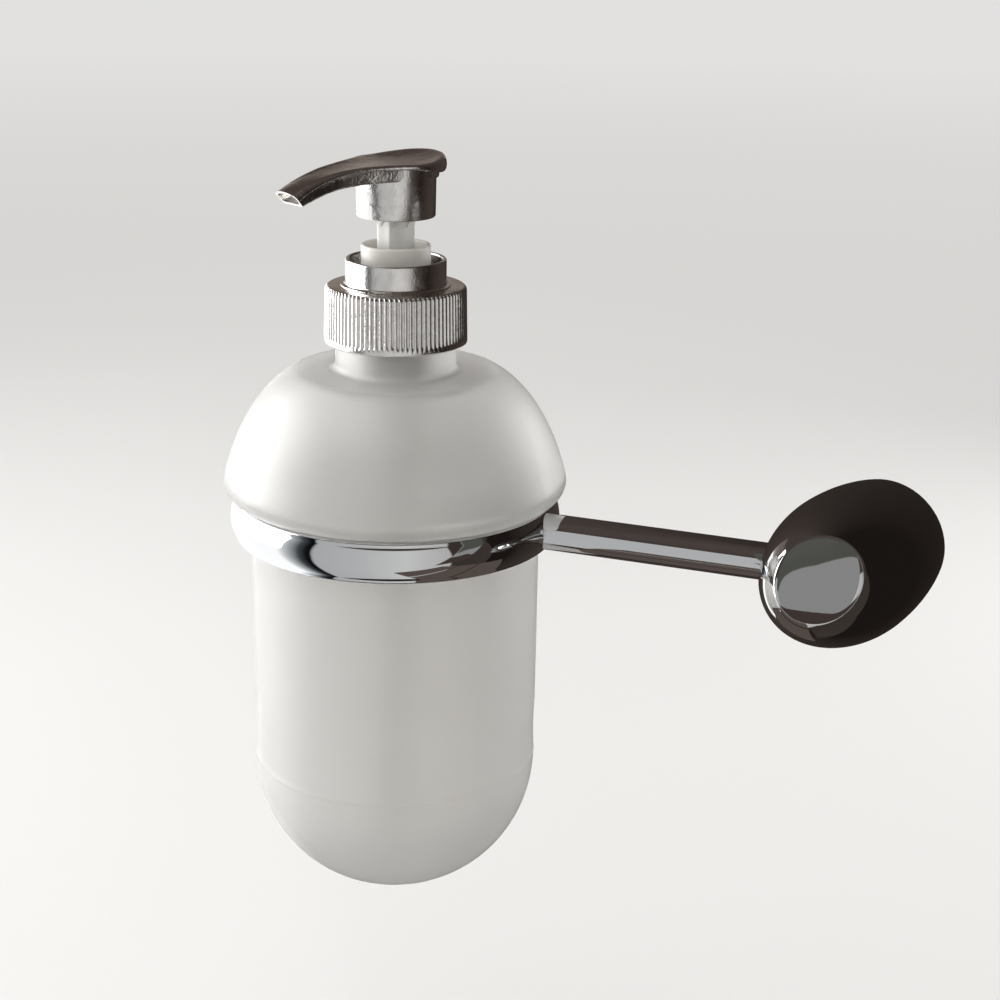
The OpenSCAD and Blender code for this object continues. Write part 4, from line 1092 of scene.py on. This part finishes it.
def facetCards(size):
    # small cards close in front of the boss, which only its polished facet sees: outlines in mm, across
    # and up, on a plane square to the way in which the facet throws the camera's view
    place = Vector(photoCamera["place"])
    edge = eggRing(eggBoss, leanAt(eggBoss, 0))
    middle = sum(edge, Vector()) / len(edge)
    view = (place - middle).normalized()
    ahead = (2 * view.dot(facetNormal) * facetNormal - view).normalized()
    up = (Vector((0, 0, 1)) - ahead * ahead.z).normalized()
    across = up.cross(ahead)
    for i, (name, tone, outline) in enumerate(size["facetCards"]):
        start = middle + ahead * (size["facetReach"] + i)
        corners = [(start + across * u + up * v) * mm for u, v in outline]
        card = builtPiece(name, lambda mesh: mesh.faces.new([mesh.verts.new(corner) for corner in corners]))
        card.data.materials.append(cardMaterial(name, tone))
        onlyInMirrors(card)


def wallCard(size):
    # the dark wall behind the boss, which shows on the egg's top and far side and fades to the right
    (left, right), (low, high), y = size["wallCard"]
    card = startPiece("wallCard", bpy.ops.mesh.primitive_plane_add, size=1)
    bpy.ops.mesh.select_all(action="SELECT")
    bpy.ops.transform.rotate(value=math.pi / 2, orient_axis="X", center_override=(0, 0, 0))
    bpy.ops.transform.resize(value=(right - left, 1, high - low))
    bpy.ops.transform.translate(value=((left + right) / 2, y, (low + high) / 2))
    bpy.ops.object.mode_set(mode="OBJECT")
    material = cardMaterial("wallCard", "#ffffff")
    where = addNode(material, "ShaderNodeTexCoord", {}).outputs["Object"]
    split = addNode(material, "ShaderNodeSeparateXYZ", {0: where})
    (near, nearX), (far, farX) = size["wallTones"]
    share = addNode(material, "ShaderNodeMapRange", {"Value": split.outputs["X"], "From Min": nearX,
                                                     "From Max": farX})
    fade = addNode(material, "ShaderNodeMix", {0: share.outputs[0]}, data_type="RGBA")
    fade.inputs[6].default_value = linear(near)
    fade.inputs[7].default_value = linear(far)
    material.node_tree.links.new(fade.outputs[2], cardColour(material))
    card.data.materials.append(material)
    onlyInMirrors(card)


def armCards(size):
    # strips of brown card below and in front of the arm: its dark lower side with thin bright lines
    start, end, drop, tone = size["armCard"]
    turn = math.radians(ringAndArm["armAngle"])
    along = Vector((math.cos(turn), math.sin(turn), 0))
    aside = Vector((along.y, -along.x, 0))
    origin = bottleAxis + Vector((0, 0, -drop))
    material = cardMaterial("armCard", tone)
    for near, far in size["armStrips"]:
        strip = startPiece("armCard", bpy.ops.mesh.primitive_plane_add, size=1)
        mesh = bmesh.from_edit_mesh(strip.data)
        for vert in mesh.verts:
            reach = end if vert.co.x > 0 else start
            out = far if vert.co.y > 0 else near
            vert.co = origin + along * reach * mm + aside * out * mm
        bmesh.update_edit_mesh(strip.data)
        bpy.ops.object.mode_set(mode="OBJECT")
        strip.data.materials.append(material)
        onlyInMirrors(strip)


def roundWall(name, size, radius, foot):
    # an upright round wall up to the ceiling, left in edit mode
    wall = startPiece(name, bpy.ops.mesh.primitive_circle_add, vertices=size["cardSides"], radius=radius)
    bpy.ops.mesh.select_all(action="SELECT")
    bpy.ops.transform.translate(value=(bottleAxis.x, bottleAxis.y, foot))
    bpy.ops.mesh.extrude_region_move(TRANSFORM_OT_translate={"value": (0, 0, size["screenTop"] - foot)})
    return wall


def stageCards(size):
    # a tall round screen, the same tones on the floor inside it, a dark ceiling and a dark disc below
    screen = roundWall("screen", size, size["screenRadius"], size["floorZ"])
    bpy.ops.object.mode_set(mode="OBJECT")
    tones = cardMaterial("screenCard", "#ffffff", size["cardStrength"])
    tones.node_tree.links.new(azimuthTone(tones, size), cardColour(tones))
    screen.data.materials.append(tones)
    onlyInMirrors(screen)
    sides, (low, high) = size["cardSides"], size["cardLift"]
    roundCard("floorCard", sides, size["floorZ"] + low, size["screenRadius"], tones)
    roundCard("underCard", sides, size["floorZ"] + high, size["underRadius"],
              cardMaterial("underCard", size["under"]))
    # behind the object the dark ceiling comes down, so that level and gently sloping tops stay dark
    back = roundWall("backCard", size, size["screenRadius"] - size["backGap"], size["backFoot"])
    towardsCamera = math.radians(size["azimuth"] - 90)
    first, last = size["backTurns"]
    mesh = bmesh.from_edit_mesh(back.data)
    bpy.ops.mesh.select_mode(type="FACE")
    for face in mesh.faces:
        offset = face.calc_center_median() - bottleAxis
        turn = (math.degrees(math.atan2(offset.y, offset.x) - towardsCamera) + 180) % 360 - 180
        face.select = first < turn < last
    bmesh.update_edit_mesh(back.data)
    bpy.ops.mesh.delete(type="FACE")
    bpy.ops.object.mode_set(mode="OBJECT")
    back.data.materials.append(heightCard(size))
    onlyInMirrors(back)
    roundCard("ceilingCard", sides, size["screenTop"], size["screenRadius"],
              cardMaterial("ceilingCard", size["ceiling"]))


def softbox(name, azimuth, elevation, distance, width, height, power, inMetal):
    light = bpy.data.lights.new(name, "AREA")
    light.shape = "RECTANGLE"
    light.size, light.size_y, light.energy = width, height, power
    lamp = bpy.data.objects.new(name, light)
    bpy.context.scene.collection.objects.link(lamp)
    turn = math.radians(studio["azimuth"] - 90 + azimuth)
    rise = math.radians(elevation)
    outwards = Vector((math.cos(turn) * math.cos(rise), math.sin(turn) * math.cos(rise), math.sin(rise)))
    lamp.location = bottleAxis + distance * outwards
    lamp.rotation_euler = (bottleAxis - lamp.location).to_track_quat("-Z", "Y").to_euler()
    lamp.visible_camera = False
    lamp.visible_glossy = inMetal


def worldLight(size):
    world = bpy.data.worlds.new("paleRoom")
    bpy.context.scene.world = world
    world.use_nodes = True
    background = world.node_tree.nodes["Background"]
    background.inputs["Color"].default_value = linear(size["paper"])
    addNode(world, "ShaderNodeMapRange", {"Value": seenRays(world), "To Min": size["worldFill"], "To Max": 1},
            background.inputs["Strength"])


stageFloor(studio)
stageCards(studio)
stripCard(studio)
facetCards(studio)
wallCard(studio)
armCards(studio)
for settings in studio["softboxes"]:
    softbox(*settings)
worldLight(studio)

cameraData = bpy.data.cameras.new("photoCamera")
cameraData.lens = photoCamera["lens"]
cameraData.sensor_width = photoCamera["sensor"]
cameraData.clip_start = photoCamera["clipStart"]
camera = bpy.data.objects.new("photoCamera", cameraData)
bpy.context.scene.collection.objects.link(camera)
camera.matrix_world = (Matrix.Translation(Vector(photoCamera["place"]) * mm)
                       @ Matrix.Rotation(math.radians(photoCamera["azimuth"]), 4, "Z")
                       @ Matrix.Rotation(math.radians(90 - photoCamera["pitch"]), 4, "X")
                       @ Matrix.Rotation(math.radians(photoCamera["roll"]), 4, "Z"))
bpy.context.scene.camera = camera
bpy.context.scene.view_settings.view_transform = "Standard"
print("stage set")
